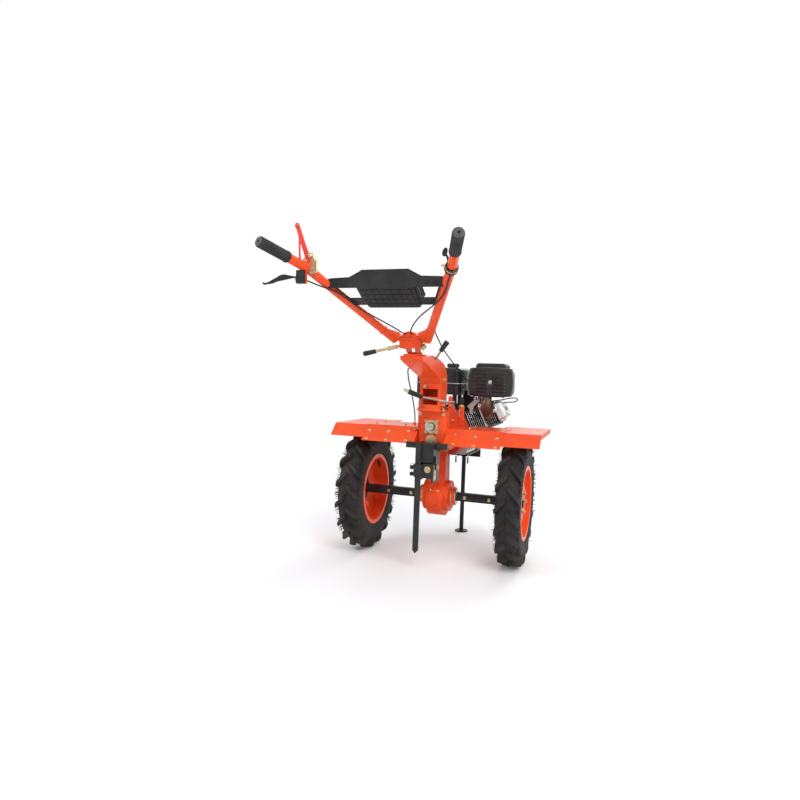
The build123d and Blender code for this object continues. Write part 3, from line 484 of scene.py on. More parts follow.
# Axles
# Hexagon steel tubes in black paint. Zinc bolts pin them on the output shafts and at the
# hubs, and zinc nuts close the case where they come out.
black_look = (0.017, 0.017, 0.018), (0.030, 0.029, 0.028), 14, 0.38
black = finish("black_paint", "black_paint", *black_look, coat=0.1, grain=350, depth=3e-5)
axle_face, pin_places = 19, (128, 240)
for side, name in ((-1, "left"), (1, "right")):
    pins = [bolt(axle + (side * x, -axle_face, 0), -north, 10, 6) for x in pin_places]
    pins += [bolt(axle + (side * x, axle_face, 0), north, 10, 6, stud=4) for x in pin_places]
    made("axle_pins_" + name, pins, zinc, body="wheel_" + name)
dress(black, "axle_left", "axle_right")
dress(zinc, "output_nuts")

# Final drive
# Two orange iron castings bolted together on the machine's middle plane, where the joint
# stands proud all round. A domed hub on each side ends in the zinc collar of a half axle.
case_r, leg_foot = 82, 335
case_ring = [p for p in ringed(axle, east, 8, case_r - 4, 0.39) if p[2] < leg_foot]
case_parts = [torus(axle, east, case_r - 1.5, 4.5, 72)]
case_parts += [revolved(p, east, [(-14, 8), (-13, 9), (13, 9), (14, 8)], 16) for p in case_ring]
hub_dome = [(0, 74), (22, 66), (28, 52), (35, 47), (37, 45), (38, 30)]
case_parts += [revolved(axle + 30 * way, way, hub_dome, 48) for way in (-east, east)]
made("case_joint", case_parts, cast_orange)
case_bolts = [
    bolt(p + 14 * way, way, 10, 6, washer=False) for way in (-east, east) for p in case_ring
]
case_bolts += [
    bolt(p, way, 10, 5, washer=False)
    for way in (-east, east)
    for p in ringed(axle + 72 * way, east, 6, 38, 0.3)
]
collar_rings = [(0, 40), (1, 44), (5, 44), (6, 42), (6, 31), (11, 30)]
collar_rings += [(12, 36.5), (20.4, 36.5), (21.4, 34), (21.4, 24)]
case_bolts += [revolved(axle + 66 * way, way, collar_rings, 48) for way in (-east, east)]
drain = bolt(axle - case_r * up, -up, 17, 7)
made("case_bolts", [*case_bolts, drain], zinc)
dress(cast_orange, "drive_leg")


# Gearbox
# A cast iron box in orange paint with a bolted top cover. The power take-off comes out at
# the back through a zinc flange, above the hexagon cap of a bearing.
def rounded(wide, tall, radius, steps=5):
    """A rectangle's outline with its corners turned as quarter circles, anticlockwise."""
    t = np.linspace(0, np.pi / 2, steps)[None, :]
    corner = np.arange(4)[:, None] * np.pi / 2
    side = np.array([[1, 1], [-1, 1], [-1, -1], [1, -1]]) * (wide / 2 - radius, tall / 2 - radius)
    turned = np.stack([np.cos(corner + t), np.sin(corner + t)], -1) * radius
    return (turned + side[:, None]).reshape(-1, 2)


def plate(outline, origin, layers, along=east, across=up):
    """A plate: its flat outline, in the directions along and across, carried up their normal.
    Each layer (height, inset) moves every corner inward along the line that halves it."""
    outline = np.asarray(outline, float)
    last, following = np.roll(outline, 1, 0), np.roll(outline, -1, 0)
    before, after = outline - last, following - outline
    before /= np.linalg.norm(before, axis=1)[:, None]
    after /= np.linalg.norm(after, axis=1)[:, None]
    area = np.sum(outline[:, 0] * following[:, 1] - outline[:, 1] * following[:, 0])
    inward = np.stack([-before[:, 1] - after[:, 1], before[:, 0] + after[:, 0]], 1) * np.sign(area)
    inward /= (1 + np.sum(before * after, 1))[:, None]
    along, across = unit(along), unit(across)
    normal = np.cross(along, across)
    height, inset = np.asarray(layers, float).T
    flat = outline + inset[:, None, None] * inward
    points = flat[..., :1] * along + flat[..., 1:] * across + height[:, None, None] * normal
    return points.reshape(-1, 3) + np.asarray(origin), capped(len(layers), len(outline))


def rolled(thick, edge):
    """Layers of a plate of this thickness with its two edges eased by edge."""
    return [(0, edge), (edge, 0), (thick - edge, 0), (thick, edge)]


def sheet(wide, tall, corner, origin, thick, edge, along=east, across=up):
    """A rectangle of plate with round corners and eased edges."""
    return plate(rounded(wide, tall, corner), origin, rolled(thick, edge), along, across)


box_rear, box_top = -155, 675
shaft = np.array([0, box_rear, 606])
cover = sheet(120, 112, 10, (0, -31, box_top), 7, 1.5, east, north)
side_ribs = [
    plate(rounded(8, 150, 3.5), (side * 64.5, y, 588), [(0, 0), (3.5, 0), (5, 1.5)], (0, side, 0))
    for side in (-1, 1)
    for y in (-2, 20)
]
made("gearbox_cover", [cover, *side_ribs], cast_orange)
box_bolts = [bolt((x, y, box_top + 7), up, 10, 6) for x in (-48, 48) for y in (-76, 14)]
box_bolts += [bolt((x, box_rear, z), -north, 10, 5) for x in (-52, 52) for z in (514, 662)]
flange_bolts = ringed(shaft - 5 * north, north, 4, 33, np.pi / 4)
box_bolts += [bolt(p, -north, 10, 6) for p in flange_bolts]
made("gearbox_bolts", box_bolts, zinc)
pto_collar = [(-1, 27.5), (2.5, 27.5), (4, 26), (4, 20.5), (-1, 20.5)]
made("pto_collar", [revolved(shaft - 9 * north, -north, pto_collar, 40, closed=True)], zinc)
centre_hole = [(-2, 17.3), (0.2, 17.3), (1.6, 15.9), (1.6, 4.5), (-1.5, 2.5), (-1.5, 1)]
shaft_end = revolved(shaft - 41 * north, -north, centre_hole)
made("pto_shaft_end", [shaft_end], steel, body="pto_shaft")
dress(cast_orange, "gearbox", "clutch_bell")
dress(zinc, "pto_ring", "bearing_cap")
dress(steel, "pto_shaft")

# Oil filler
# An orange boss cast on the bell, a brass hexagon, and the black knob of the dipstick.
# A long chrome bolt stands beside it and a stop for the column's cable on the left.
brass_look = (0.66, 0.42, 0.14), (0.52, 0.31, 0.11), 60, 0.28
knob_look = (0.020, 0.019, 0.019), (0.034, 0.033, 0.033), 40, 0.45
brass = finish("brass", "zinc_plate", *brass_look, metal=0.95, grain=900)
knob_black = finish("knob_black", "black_plastic", *knob_look, grain=900)
filler = np.array([76, 76, 0])
boss = [(600, 14), (640, 14), (676, 12.5), (686, 12.5), (689, 10), (689, 3)]
made("filler_boss", [revolved(filler, up, boss, 28)], cast_orange, ["oil_filler"])
made("filler_hexagon", [bolt(filler + 688 * up, up, 19, 9)], brass)
knob = [(698, 4), (704, 4), (705, 8), (707, 9.4), (722, 9.4), (730, 8.4), (733.5, 5), (734, 1)]
made("dipstick_knob", [revolved(filler, up, knob, 18)], knob_black)
chrome_at = np.array([70, 52, 0])
chrome_rod = revolved(chrome_at, up, [(630, 3.2), (676, 3.2), (677, 2)], 14)
made("chrome_bolt", [chrome_rod, bolt(chrome_at + 634 * up, up, 10, 7)], steel)
stop = np.array([-77, -161, 0])
stop_parts = [
    bolt(stop + 600 * up, up, 11, 6),
    bolt(stop + 592 * up, -up, 11, 5, washer=False),
    revolved(stop, up, [(606, 4.6), (618, 4.6), (624, 3.4), (630, 3.1)], 16),
]
made("cable_stop", stop_parts, brass)

# Hitch
# A black steel fork behind the gearbox that takes an implement's tongue between two pins.
# The flat depth stake stands in a holder on its back, held by a zinc bolt and small knobs.
knob_at, knob_shape = (-42, -258), [(-2, 4), (5, 4), (6, 9), (15, 9), (17, 7)]
holder = [
    sheet(44, 62, 4, (18, -252, 424), 11, 1.5),
    sheet(30, 30, 3, (18, -263, 432), 4, 1),
    sheet(70, 12, 3, (5, -252, 466), 5, 1),
    sheet(66, 60, 2, (16, -234, 458), 6, 1),
    revolved((*knob_at, 436), -east, knob_shape, 18),
    revolved((*knob_at, 408), -east, knob_shape, 18),
]
made("hitch_holder", holder, black)
hitch_zinc = [
    bolt((20, -267, 432), -north, 17, 9),
    bolt((54, -226, 440), east, 15, 2),
    bolt((40, -200, 528), east, 13, 8),
    bolt((-40, -200, 528), -east, 13, 8),
    sheet(30, 66, 2, (40, -232, 418), 4, 0.8, north, up),
    torus((-60, -226, 440), (0.2, 1, 0), 9, 1.4, 24),
]
made("hitch_bolts", hitch_zinc, zinc)
dress(black, "hitch_bracket", "depth_stake")
dress(zinc, "hitch_pin")

# Fenders
# Folded orange sheet on two wide brackets. Small zinc screws hold each bracket to the
# gearbox and each fender to its bracket, through the flap behind and the flat on top.
flap_top, flap_way = np.array([0, -138, 600]), np.array([0, -68, -69])
flap_out = (0, -0.7119, 0.7023)
flap_screws = [(106, 0.3), (106, 0.86), (198, 0.4), (198, 0.9), (290, 0.4), (290, 0.9)]
box_screws = [(-118, 700), (-60, 630), (0, 560)]
hem_layers = [(0, 1), (1, 0), (2.6, 0), (3.4, 1)]
for side, name in ((-1, "left"), (1, "right")):
    screws = [
        bolt(flap_top + flap_way * share + side * x * east, flap_out, 9, 4)
        for x, share in flap_screws
    ]
    screws += [bolt((side * x, y, 600), up, 9, 4) for x in (150, 292) for y in (-70, 50)]
    screws += [bolt((side * 70, y, z), side * east, 11, 5) for y, z in box_screws]
    made("fender_screws_" + name, screws, zinc)
    hem = plate(rounded(4.4, 368, 2), (side * 469.2, 51, 577), hem_layers, east, north)
    made("fender_hem_" + name, [hem], orange)
dress(orange, "fender_left", "fender_right", "bracket_left", "bracket_right")


# Column
# Folded and welded sheet in orange, open at its back in two windows, bolted on the
# gearbox. A weld runs down each corner, and a lip stands over the upper window.
def tube(path, radius, sides=14, ends=True):
    """A round section carried along a path: at each point a circle square to the way there,
    turned from the last one by as little as it can be."""
    path = np.asarray(path, float)
    ways = np.gradient(path, axis=0)
    ways /= np.linalg.norm(ways, axis=1)[:, None]
    u = np.zeros_like(path)
    first = np.eye(3)[np.argmin(np.abs(ways[0]))]
    for k, way in enumerate(ways):
        first = first - way * (first @ way)
        first = first / np.linalg.norm(first)
        u[k] = first
    v = np.cross(ways, u)
    t = np.linspace(0, 2 * np.pi, sides, endpoint=False)[None, :, None]
    points = path[:, None] + radius * (np.cos(t) * u[:, None] + np.sin(t) * v[:, None])
    faces = capped(len(path), sides) if ends else ring_faces(len(path), sides)
    return points.reshape(-1, 3), faces


def hoop(outline, origin, along, across, thick, sides=8, ends=True):
    """A wire bent to a flat outline, in the directions along and across, back to its start."""
    loop = np.concatenate([outline, outline[:1]])
    return tube(np.asarray(origin) + loop[:, :1] * along + loop[:, 1:] * across, thick, sides, ends)


corner_line = bowed([(-197, 690), (-199, 795), (-228, 826), (-330, 852), (-440, 881)])
outer_line = bowed([(-99, 690), (-99, 795), (-131, 863), (-232, 896), (-345, 909)])
trim = [
    tube(np.c_[np.full(len(line), side * 45.2), line], 1.9, 10)
    for side in (-1, 1)
    for line in (corner_line, outer_line)
]
trim.append(sheet(84, 16, 3, (0, -201, 779), 4, 1, east, (0, -0.85, -0.53)))
pad_ring = [(-4, 30), (-3, 45), (7, 46), (8.6, 45), (8.6, 30)]
trim.append(revolved((0, -432, 901), up, pad_ring, 48))
made("column_trim", trim, orange)
made("column_foot", [sheet(124, 98, 6, (0, -147, 676), 5, 1.2, east, north)], orange)
column_bolts = [bolt((x, y, 681), up, 12, 7) for x in (-55, 55) for y in (-178, -112)]
column_bolts += [bolt((-22, -204, 783), -north, 9, 5)]
column_bolts += [
    bolt((side * 46, -150, z), side * east, 12, 7) for side in (-1, 1) for z in (812, 700)
]
made("column_bolts", column_bolts, zinc)
dress(orange, "column")

# Swivel head and yoke
# A head with two cheeks turns on the column's pad. The yoke's arched cover tilts on a pivot
# through them and is welded to the tubes, with beaded edges and a pressed step at its back.
pivot = np.array([0, -462, 940])
made("yoke_bolts", [bolt(pivot + 41 * east, east, 19, 9, stud=3)], zinc, body="handlebar")
made("swivel_nut", [bolt((0, -432, 902), -up, 24, 10)], zinc)
arch = np.linspace(0, np.pi, 25)
arch_path = np.r_[[(-38, 932)], np.c_[-38 * np.cos(arch), 955 + 38 * np.sin(arch)], [(38, 932)]]
beads = [
    tube(np.c_[arch_path[:, 0], np.full(len(arch_path), y), arch_path[:, 1]], 2.2, 10)
    for y in (-507.0, -435.5)
]
step_path = [(-35, -509, 966), (12, -509, 966), (20, -509, 963), (23, -509, 956), (23, -509, 934)]
made("yoke_beads", [*beads, tube(step_path, 4)], orange, body="handlebar")
dress(orange, "swivel_head", "yoke")

# Handlebar tubes and grips
# Bent steel tubes in orange with a weld at each foot. Ribbed rubber grips are pushed on
# their ends, each with its end face round the hole in its middle in a paler grey, a
# painted reflection of the lamps.
foot, bend = np.array([66, -482, 964]), np.array([255, -866, 1178])
tip = np.array([320, -1061, 1227])
run, last = unit(bend - foot), unit(tip - bend)
grip_look = (0.022, 0.021, 0.022), (0.045, 0.043, 0.043), 25, 0.62
grip_rubber = finish("grip_rubber", "grip_rubber", *grip_look, grain=1400, depth=1e-4)
grip_at = np.linspace(7, 116, 120)
grip_r = 18.9 - 0.55 * np.cos(2 * np.pi * (grip_at - 7) / 4.2) ** 6
grip_end = tip + last * 8
grip_face = [(3.0, 0.6), (3.0, 3.4), (0, 4.4), (0, 13), (1.2, 16.6), (4, 18.4)]
grip_flange = [(118, 19.2), (120, 19.8), (124.5, 19.8), (127, 18.6), (127.8, 16.1)]
grip_profile = np.concatenate([grip_face, np.c_[grip_at, grip_r], grip_flange])
grip = revolved(grip_end, -last, grip_profile, 56)
made("grip_right_ribbed", [grip], grip_rubber, ["grip_right"], "handlebar")
made("grip_left_ribbed", [mirrored(grip)], grip_rubber, ["grip_left"], "handlebar")
end_rings = [(-0.4, 4.6), (-0.6, 6), (0.2, 6.4), (0.2, 7.2), (-0.6, 7.6), (-0.6, 10.6)]
end_rings += [(0.2, 11), (0.2, 11.8), (-0.4, 12.2), (0.8, 16), (2, 15.5), (2, 4.6)]
end_disc = revolved(grip_end, -last, end_rings, 56, closed=True)
# The end faces' paler grey is a painted reflection of the lamps on the rubber, not its colour.
end_reflection_look = (0.11, 0.11, 0.114), (0.07, 0.07, 0.073), 60, 0.45
grip_end_reflection = finish("grip_end_painted_reflection", "grip_rubber", *end_reflection_look, grain=1400, depth=5e-5)
made("grip_ends_painted_reflection", [end_disc, mirrored(end_disc)], grip_end_reflection, body="handlebar")
foot_weld = torus(foot + run * 74, run, 17, 1.6, 32)
made("tube_welds", [foot_weld, mirrored(foot_weld)], orange, body="handlebar")
dress(orange, "handle_tube_left", "handle_tube_right")

# Clutch lever
# A forked red lever, pressed from sheet with a round end, on a zinc bracket with a knurled
# knob at the left bend. It leans back, and an orange toothed bar hangs below it.
red_look = (0.80, 0.075, 0.068), (0.70, 0.050, 0.046), 14, 0.3
red = finish("red_lever", "red_lever", *red_look, coat=0.3, grain=420, depth=3e-5)
outer_leg = bowed([(-246, 1196), (-252, 1222), (-262, 1256), (-271, 1290), (-279, 1322)])
inner_leg = bowed([(-279, 1196), (-279.5, 1222), (-277, 1252), (-275, 1282), (-280, 1316)])
lever_foot = np.array([0, -868, 1196])
lean_back = unit((0, -0.24, 0.97))


def leaning(outline):
    """Points (x, z) laid on the lever's own plane, which leans back: x, and the way up it."""
    return np.c_[outline[:, 0], (outline[:, 1] - lever_foot[2]) / lean_back[2]]


# The broad leg's outline: its line moved to both sides, square to the way it runs.
edge_way = np.gradient(outer_leg, axis=0)
edge_way = np.stack([edge_way[:, 1], -edge_way[:, 0]], 1)
edge_way /= np.linalg.norm(edge_way, axis=1)[:, None]
leg_half = np.linspace(9.5, 8, len(outer_leg))[:, None] * edge_way
fork_outline = leaning(np.concatenate([outer_leg + leg_half, (outer_leg - leg_half)[::-1]]))
fork = plate(fork_outline, lever_foot, rolled(6, 1.6), east, lean_back)
thin_line = leaning(inner_leg[: len(inner_leg) * 3 // 4])
thin_path = lever_foot + thin_line[:, :1] * east + thin_line[:, 1:] * lean_back - 3 * north
made("clutch_lever_fork", [fork, tube(thin_path, 3.4, 12)], red, ["clutch_lever"], "handlebar")
lever_top = lever_foot + lean_back * (1317 - lever_foot[2]) / lean_back[2] + (-278.5, -3, -3)
tip_cap = [(-5, 7), (-2, 8.8), (3, 8.8), (7, 6.8), (10, 2.5)]
tip_cap = revolved(lever_top, (-0.22, -0.24, 0.94), tip_cap, 20)
made("clutch_lever_tip", [tip_cap], red, body="handlebar")
bracket = [(-271, 1158), (-226, 1158), (-219, 1168), (-219, 1200), (-230, 1216), (-262, 1218)]
bracket.append((-271, 1206))
knurled = [(-4, 5), (0, 5), (0, 9), (3, 10.5), (6, 9.4), (9, 10.5), (12, 9), (13, 3)]
clutch_parts = [
    plate(bracket, (0, -868, 0), rolled(4.5, 1)),
    sheet(9, 50, 3, (-222, -868, 1186), 3.4, 0.8, north, up),
    revolved((-241, -875, 1216), (0.1, 0, 1), knurled, 20),
    bolt((-258, -872, 1200), -north, 12, 5),
    bolt((-236, -872, 1174), -north, 10, 5),
    bolt((-262, -872, 1170), -north, 8, 4),
]
made("clutch_bracket_plate", clutch_parts, zinc, ["clutch_bracket"], "handlebar")
teeth, tooth_step, tooth_deep = 9, 3.0, 2.4
tooth_x = np.repeat(-260.5, 2 * teeth) - np.tile([0, tooth_deep], teeth)
tooth_z = 1180 - np.arange(2 * teeth) * tooth_step
bar_head, bar_foot = [(-258, 1182), (-262, 1182)], [(-258, 1126), (-248, 1124), (-247, 1182)]
bar_outline = np.concatenate([bar_head, np.c_[tooth_x, tooth_z], bar_foot])
toothed_bar = plate(bar_outline, (0, -878, 0), rolled(4, 0.6))
made("toothed_bar", [toothed_bar], orange, body="handlebar")

# Lower lever
# A black lever pivots in a pressed mount under the left tube. Its blade widens in the
# middle, thins and ends in a hook, and it pulls the left cable.
blade_line = [(-276, -880, 1146), (-294, -888, 1145), (-316, -930, 1137)]
blade_line = bowed(blade_line + [(-334, -958, 1120), (-348, -978, 1110), (-354, -986, 1112)])
# Round each point of the line an ellipse, blade_half tall, that swells as a sine.
blade_share = np.linspace(0, 1, len(blade_line))
blade_half = 3.6 + 9 * np.sin(np.pi * np.clip((blade_share - 0.2) / 0.55, 0, 1)) ** 1.5
blade_ways = np.gradient(blade_line, axis=0)
blade_ways /= np.linalg.norm(blade_ways, axis=1)[:, None]
blade_up = np.cross((0.8, 0.55, 0.0), blade_ways)
blade_up /= np.linalg.norm(blade_up, axis=1)[:, None]
blade_side = np.cross(blade_ways, blade_up)
turning = np.linspace(0, 2 * np.pi, 16, endpoint=False)[None, :, None]
blade_wide = np.cos(turning) * blade_up[:, None] * blade_half[:, None, None]
blade_thick = np.sin(turning) * blade_side[:, None] * 2.6
blade_points = (blade_line[:, None] + blade_wide + blade_thick).reshape(-1, 3)
blade = blade_points, capped(len(blade_line), turning.size)
made("lever_blade", [blade], black, ["black_lever"], "handlebar")
cheek = [(-289, 1134), (-262, 1124), (-250, 1128), (-252, 1152), (-268, 1170), (-284, 1168)]
mount = [plate(cheek, (0, y, 0), rolled(3, 0.8)) for y in (-872, -886)]
mount.append(bolt((-276, -889, 1146), -north, 10, 5))
mount.append(revolved((-268, -872, 1140), north, [(-16, 6), (4, 6), (6, 4), (12, 3.4)], 14))
made("lever_mount_plates", mount, black, body="handlebar")
dress(black, "lever_mount")

# Throttle control
# A zinc clamp with two screws on the right tube, a black drum on it, and a thumb lever
# with an oval end. The cables leave it down the tube.
throttle = bend - run * 30
drum_ring = [(-2, 21.4), (0, 22.2), (4, 22.2), (6, 21.4)]
drum = [revolved(throttle + run * back, run, drum_ring, 36) for back in (2, 16)]
made("throttle_drum", drum, knob_black, body="handlebar")
throttle_screws = [
    bolt(throttle + run * 11 + (-21, -3, 6), (-1, -0.2, 0.3), 9, 6, stud=5),
    bolt(throttle + run * 11 + (4, -12, 18), (0.1, -0.5, 0.8), 8, 4),
]
made("throttle_screws", throttle_screws, zinc, body="handlebar")
thumb = np.c_[8.5 * np.cos(turning[0, :, 0]), 15 * np.sin(turning[0, :, 0])]
thumb_layers = [(-2.5, 2), (-1.5, 0.6), (0, 0), (1.5, 0.6), (2.5, 2)]
thumb = plate(thumb, (246, -930, 1204), thumb_layers, (0.95, 0.25, 0.2), (0.25, -0.55, 0.8))
stalk = tube([(240, -866, 1190), (243, -890, 1198), (246, -918, 1200), (247, -930, 1204)], 3.6)
made("throttle_thumb", [thumb, stalk], knob_black, ["throttle_lever"], "handlebar")
dress(zinc, "throttle_clamp")


# Small levers
# The tilt lock, the swivel lock and the gear lever: zinc or steel rods with black moulded
# grips. The gear lever's grip ends in an ivory tip, and two links run down from it.
def grip_on(start, end, radius):
    """A moulded lever grip: a cone that swells to its far end, with rings and round ends."""
    start, end = np.asarray(start, float), np.asarray(end, float)
    long = np.linalg.norm(end - start)
    at = np.linspace(0.06, 0.9, 36)
    swell = 0.8 + 0.2 * at + 0.025 * np.cos(at * 60)
    near, far = [(0, 0.45), (0.01, 0.7)], [(0.96, 0.88), (0.99, 0.6), (1, 0.2)]
    shape = np.concatenate([near, np.c_[at, swell], far])
    return revolved(start, end - start, shape * (long, radius), 24)


dull_look = (0.34, 0.27, 0.23), (0.24, 0.18, 0.155), 45, 0.42
dull_zinc = finish("dull_zinc", "bare_steel", *dull_look, metal=0.85, grain=800)
tilt_from, elbow = np.array([-41, -462, 940.0]), np.array([-56, -462, 940.0])
tilt_to = np.array([-207, -462, 906.0])
tilt_way = tilt_to - elbow
tilt_path = [tilt_from, elbow + 4 * east, elbow, elbow + tilt_way * 0.1, elbow + tilt_way * 0.75]
sleeve = [(0, 7), (0.6, 9.4), (5, 9.4), (5.6, 8), (30, 8), (30.6, 9.4), (38, 9.4), (38.6, 6)]
sleeve = revolved(elbow + tilt_way * 0.06, tilt_way, sleeve, 24)
made("tilt_lock_rod", [tube(tilt_path, 5.6), sleeve], zinc, ["height_lever"], "swivel_head")
tilt_grip = grip_on(elbow + tilt_way * 0.64, tilt_to, 10.5)
made("tilt_lock_grip", [tilt_grip], knob_black, body="swivel_head")

lock_foot, lock_mid, lock_end = np.array([(46, -300, 895), (69, -300, 932), (96, -300, 972)])
lock_way = lock_end - lock_mid
lock_rod = tube([lock_foot, lock_mid, lock_mid + lock_way * 0.3], 4.6)
made("swivel_lock_rod", [lock_rod], dull_zinc, ["swivel_lever"])
made("swivel_lock_grip", [grip_on(lock_mid - lock_way * 0.06, lock_end, 11.5)], knob_black)

gear_line = [(70, -118, 716), (84, -120, 716), (91, -135, 716), (88, -170, 716)]
gear_line += [(84, -197, 717), (70, -213, 720), (30, -236, 729), (-14, -259, 737)]
made("gear_lever_rod", [tube(bowed([*gear_line, (-40, -277, 747)]), 5)], dull_zinc, ["gear_lever"])
gear_top = (-68, -296, 760)
made("gear_lever_grip", [grip_on((-16, -260, 737), gear_top, 11.5)], knob_black)
ivory_look = (0.62, 0.58, 0.42), (0.52, 0.47, 0.33), 60, 0.4
ivory = finish("ivory_tip", "black_plastic", *ivory_look, grain=900)
ivory_tip = [(-2, 6), (1, 7), (14, 7), (19, 6), (21.6, 3), (22, 1)]
made("gear_lever_tip", [revolved(gear_top, (-17, -12, 8), ivory_tip, 20)], ivory)
links = [
    tube([(-28, -266, 738), (-31, -236, 712), (-34, -201, 690)], 3),
    tube([(-20, -262, 736), (-24, -232, 710), (-27, -201, 688)], 2.6),
]
made("gear_links", links, steel)

# Cross plate and tool tray
# A folded, bare black plate joins the tubes. Behind it sits a moulded black tray in two
# triangular brackets, with bands round its sides and a waffle of ribs under its floor.
slope_way = unit((0, run[1], run[2]))
slope_down = np.array([0, -slope_way[2], slope_way[1]])


def on_slope(x, s, below=0.0):
    """A point by the tubes: x across, s up their slope, below its plane."""
    return foot * (0, 1, 1) + x * east + slope_way * s + slope_down * below


tray_look = (0.020, 0.020, 0.021), (0.032, 0.032, 0.033), 18, 0.5
tray_black = finish("tray_plastic", "black_plastic", *tray_look, grain=900, depth=1.2e-4)
tray_mid, floor_below, flare = 284, 8.4, 0.14
ribs = []
for below in (-2, -14, -26):
    grown = flare * (8 - below)
    band = rounded(201 + grown, 125 + grown, 12, 6)
    ribs.append(hoop(band, on_slope(0, tray_mid, below), east, slope_way, 1.5))
for x in np.linspace(-84, 84, 8):
    ribs.append(tube([on_slope(x, s, floor_below) for s in np.linspace(226, 342, 13)], 2, 8))
for s in np.linspace(244, 324, 4):
    ribs.append(tube([on_slope(x, s, floor_below) for x in np.linspace(-96, 96, 17)], 2, 8))
tray_rim = rounded(208, 132, 14, 6)
ribs.append(hoop(tray_rim, on_slope(0, tray_mid, -43), east, slope_way, 2.4))
made("tray_ribs", ribs, tray_black, body="handlebar")
dress(tray_black, "tool_tray")
plate_mid = on_slope(0, 356)
bead_y, bead_z = plate_mid[1:] + (-1.5, 15)
plate_edge = np.array([(-204, 0), (-128, 3), (-84, 27), (84, 27), (128, 3), (204, 0)])
top_edge = np.c_[plate_edge[:, 0], np.full(6, bead_y), plate_edge[:, 1] + bead_z]
low_edge = [(x, bead_y, plate_mid[2] - 15.5) for x in (-204, 204)]
plate_beads = [tube(edge, 2.2, 10) for edge in (top_edge, low_edge)]
made("cross_plate_edges", plate_beads, black, body="handlebar")
plate_screws = [bolt(plate_mid + (x, -3, 0), -north, 9, 4) for x in (-180, -150, 150, 180)]
made("cross_plate_screws", plate_screws, knob_black, body="handlebar")
dress(black, "cross_plate", "tray_brackets")

# Engine block
# One cylinder leaning out to the right over a cast aluminium crankcase. Its fins are cast
# in, painted black, and bright along their rims.
alu_look = (0.60, 0.60, 0.59), (0.44, 0.44, 0.43), 16, 0.42
bright_look = (0.70, 0.70, 0.69), (0.58, 0.58, 0.57), 40, 0.27
fin_look = (0.020, 0.020, 0.021), (0.036, 0.034, 0.033), 25, 0.45
alu = finish("cast_aluminium", "engine_alu", *alu_look, metal=0.8, grain=300, depth=1.5e-4)
bright_alu = finish("machined_aluminium", "engine_alu", *bright_look, metal=0.85, grain=700)
fin_black = finish("fin_black", "fin_black", *fin_look, metal=0.2, depth=5e-5)
lean_angle = np.radians(25)
lean = np.array([np.cos(lean_angle), 0, np.sin(lean_angle)])
lean_up = np.array([-np.sin(lean_angle), 0, np.cos(lean_angle)])
crank = np.array([0, 218, 565])


def on_cylinder(out, along=0, side=0):
    """A point of the cylinder: out along its lean, along Y, and up its side."""
    return crank + lean * out + north * along + lean_up * side


def on_head(outline, out, layers):
    """A plate square to the cylinder's lean, this far out along it."""
    return plate(outline, on_cylinder(out), layers, north, lean_up)


fin_pitch, head_joint = 9.5, 176
fins, rims = [], []
for k in range(14):
    level = 104 + fin_pitch * (k + 0.6)
    if abs(level - head_joint - 3) > 5:
        outline = (138, 109, 16) if k > 9 else (146, 115, 16)
        fins.append(on_head(rounded(*outline, 6), level, [(0, 0.7), (0.5, 0), (2.3, 0), (2.8, 0.7)]))
        edge_at = on_cylinder(level + 1.4)
        rims.append(hoop(rounded(*outline, 4), edge_at, north, lean_up, 0.75, 5, ends=False))
barrel = revolved(on_cylinder(78), lean, [(0, 62), (20, 60), (166, 60)], 40)
port_boss = revolved((184, 184, 668), -north, [(0, 25), (38, 25), (40, 23)])
made("cylinder_fins", [*fins, barrel, port_boss], fin_black, ["cylinder"])
joint_layers = [(-1.5, 0.8), (-1, 0), (5, 0), (5.5, 0.8)]
joint_rim = on_head(rounded(134, 106, 14, 6), head_joint, joint_layers)
made("fin_rims", [joint_rim, *rims], bright_alu)
side_cover = rounded(150, 186, 10)
oil_plug = [(-8, 15), (6, 15), (7, 17), (16, 17), (18, 15)]
case_trim = [
    plate(side_cover, (-118, 218, 560), [(-2, 0), (2, 0), (3, 1)], up, north),
    revolved((96, 262, 500), (1, 0, -0.1), oil_plug, 20),
]
made("crankcase_cover", case_trim, alu)
engine_bolts = [
    bolt((-121, y, z), -east, 10, 6, washer=False) for y in (136, 218, 300) for z in (494, 626)
]
engine_bolts += [bolt((x, y, 487), (1, 0, -0.2), 12, 7) for x, y in ((98, 150), (100, 200))]
engine_bolts += [
    bolt(on_cylinder(head_joint + 6, a, s), lean, 10, 7) for a in (-58, 58) for s in (-44, 44)
]
made("engine_bolts", engine_bolts, bright_alu)
dress(alu, "crankcase")

# Valve cover and spark plug
# A pressed aluminium cover with a deep crown and round corners, on a black gasket, held by
# one bolt in its middle. The plug's lead comes off the top of the head in one wire loop.
cover_out = 243
gasket = on_head(rounded(134, 108, 16, 6), cover_out, [(-2, 0.6), (-1.4, 0), (2.4, 0), (3, 0.6)])
made("cover_gasket", [gasket], knob_black)
crown = [(2.5, 1), (3.5, 0), (7, 0), (8.5, 2.5), (9.5, 6.5), (20, 7.5), (33, 9.5), (40, 12.5)]
crown += [(44.5, 18), (46, 25), (45, 34), (43.6, 40)]
crown = on_head(rounded(130, 104, 17, 7), cover_out, crown)
made("valve_cover_crown", [crown], bright_alu, ["valve_cover"])
cover_bolts = [bolt(on_cylinder(287), lean, 12, 6)]
cover_bolts += [bolt(on_cylinder(250, a, s), lean, 9, 5) for a in (-60, 60) for s in (-46, 46)]
made("valve_cover_bolts", cover_bolts, steel)
plug = [(-6, 9), (4, 9), (5, 11), (12, 11), (13, 8), (28, 7.4), (30, 9), (38, 9), (41, 6)]
plug = revolved(on_cylinder(205, -34, 58), (0.1, -0.5, 0.86), plug, 20)
made("spark_plug_cap", [plug], knob_black)
lead = [(212, 165, 722), (250, 152, 728), (285, 160, 737), (312, 175, 738)]
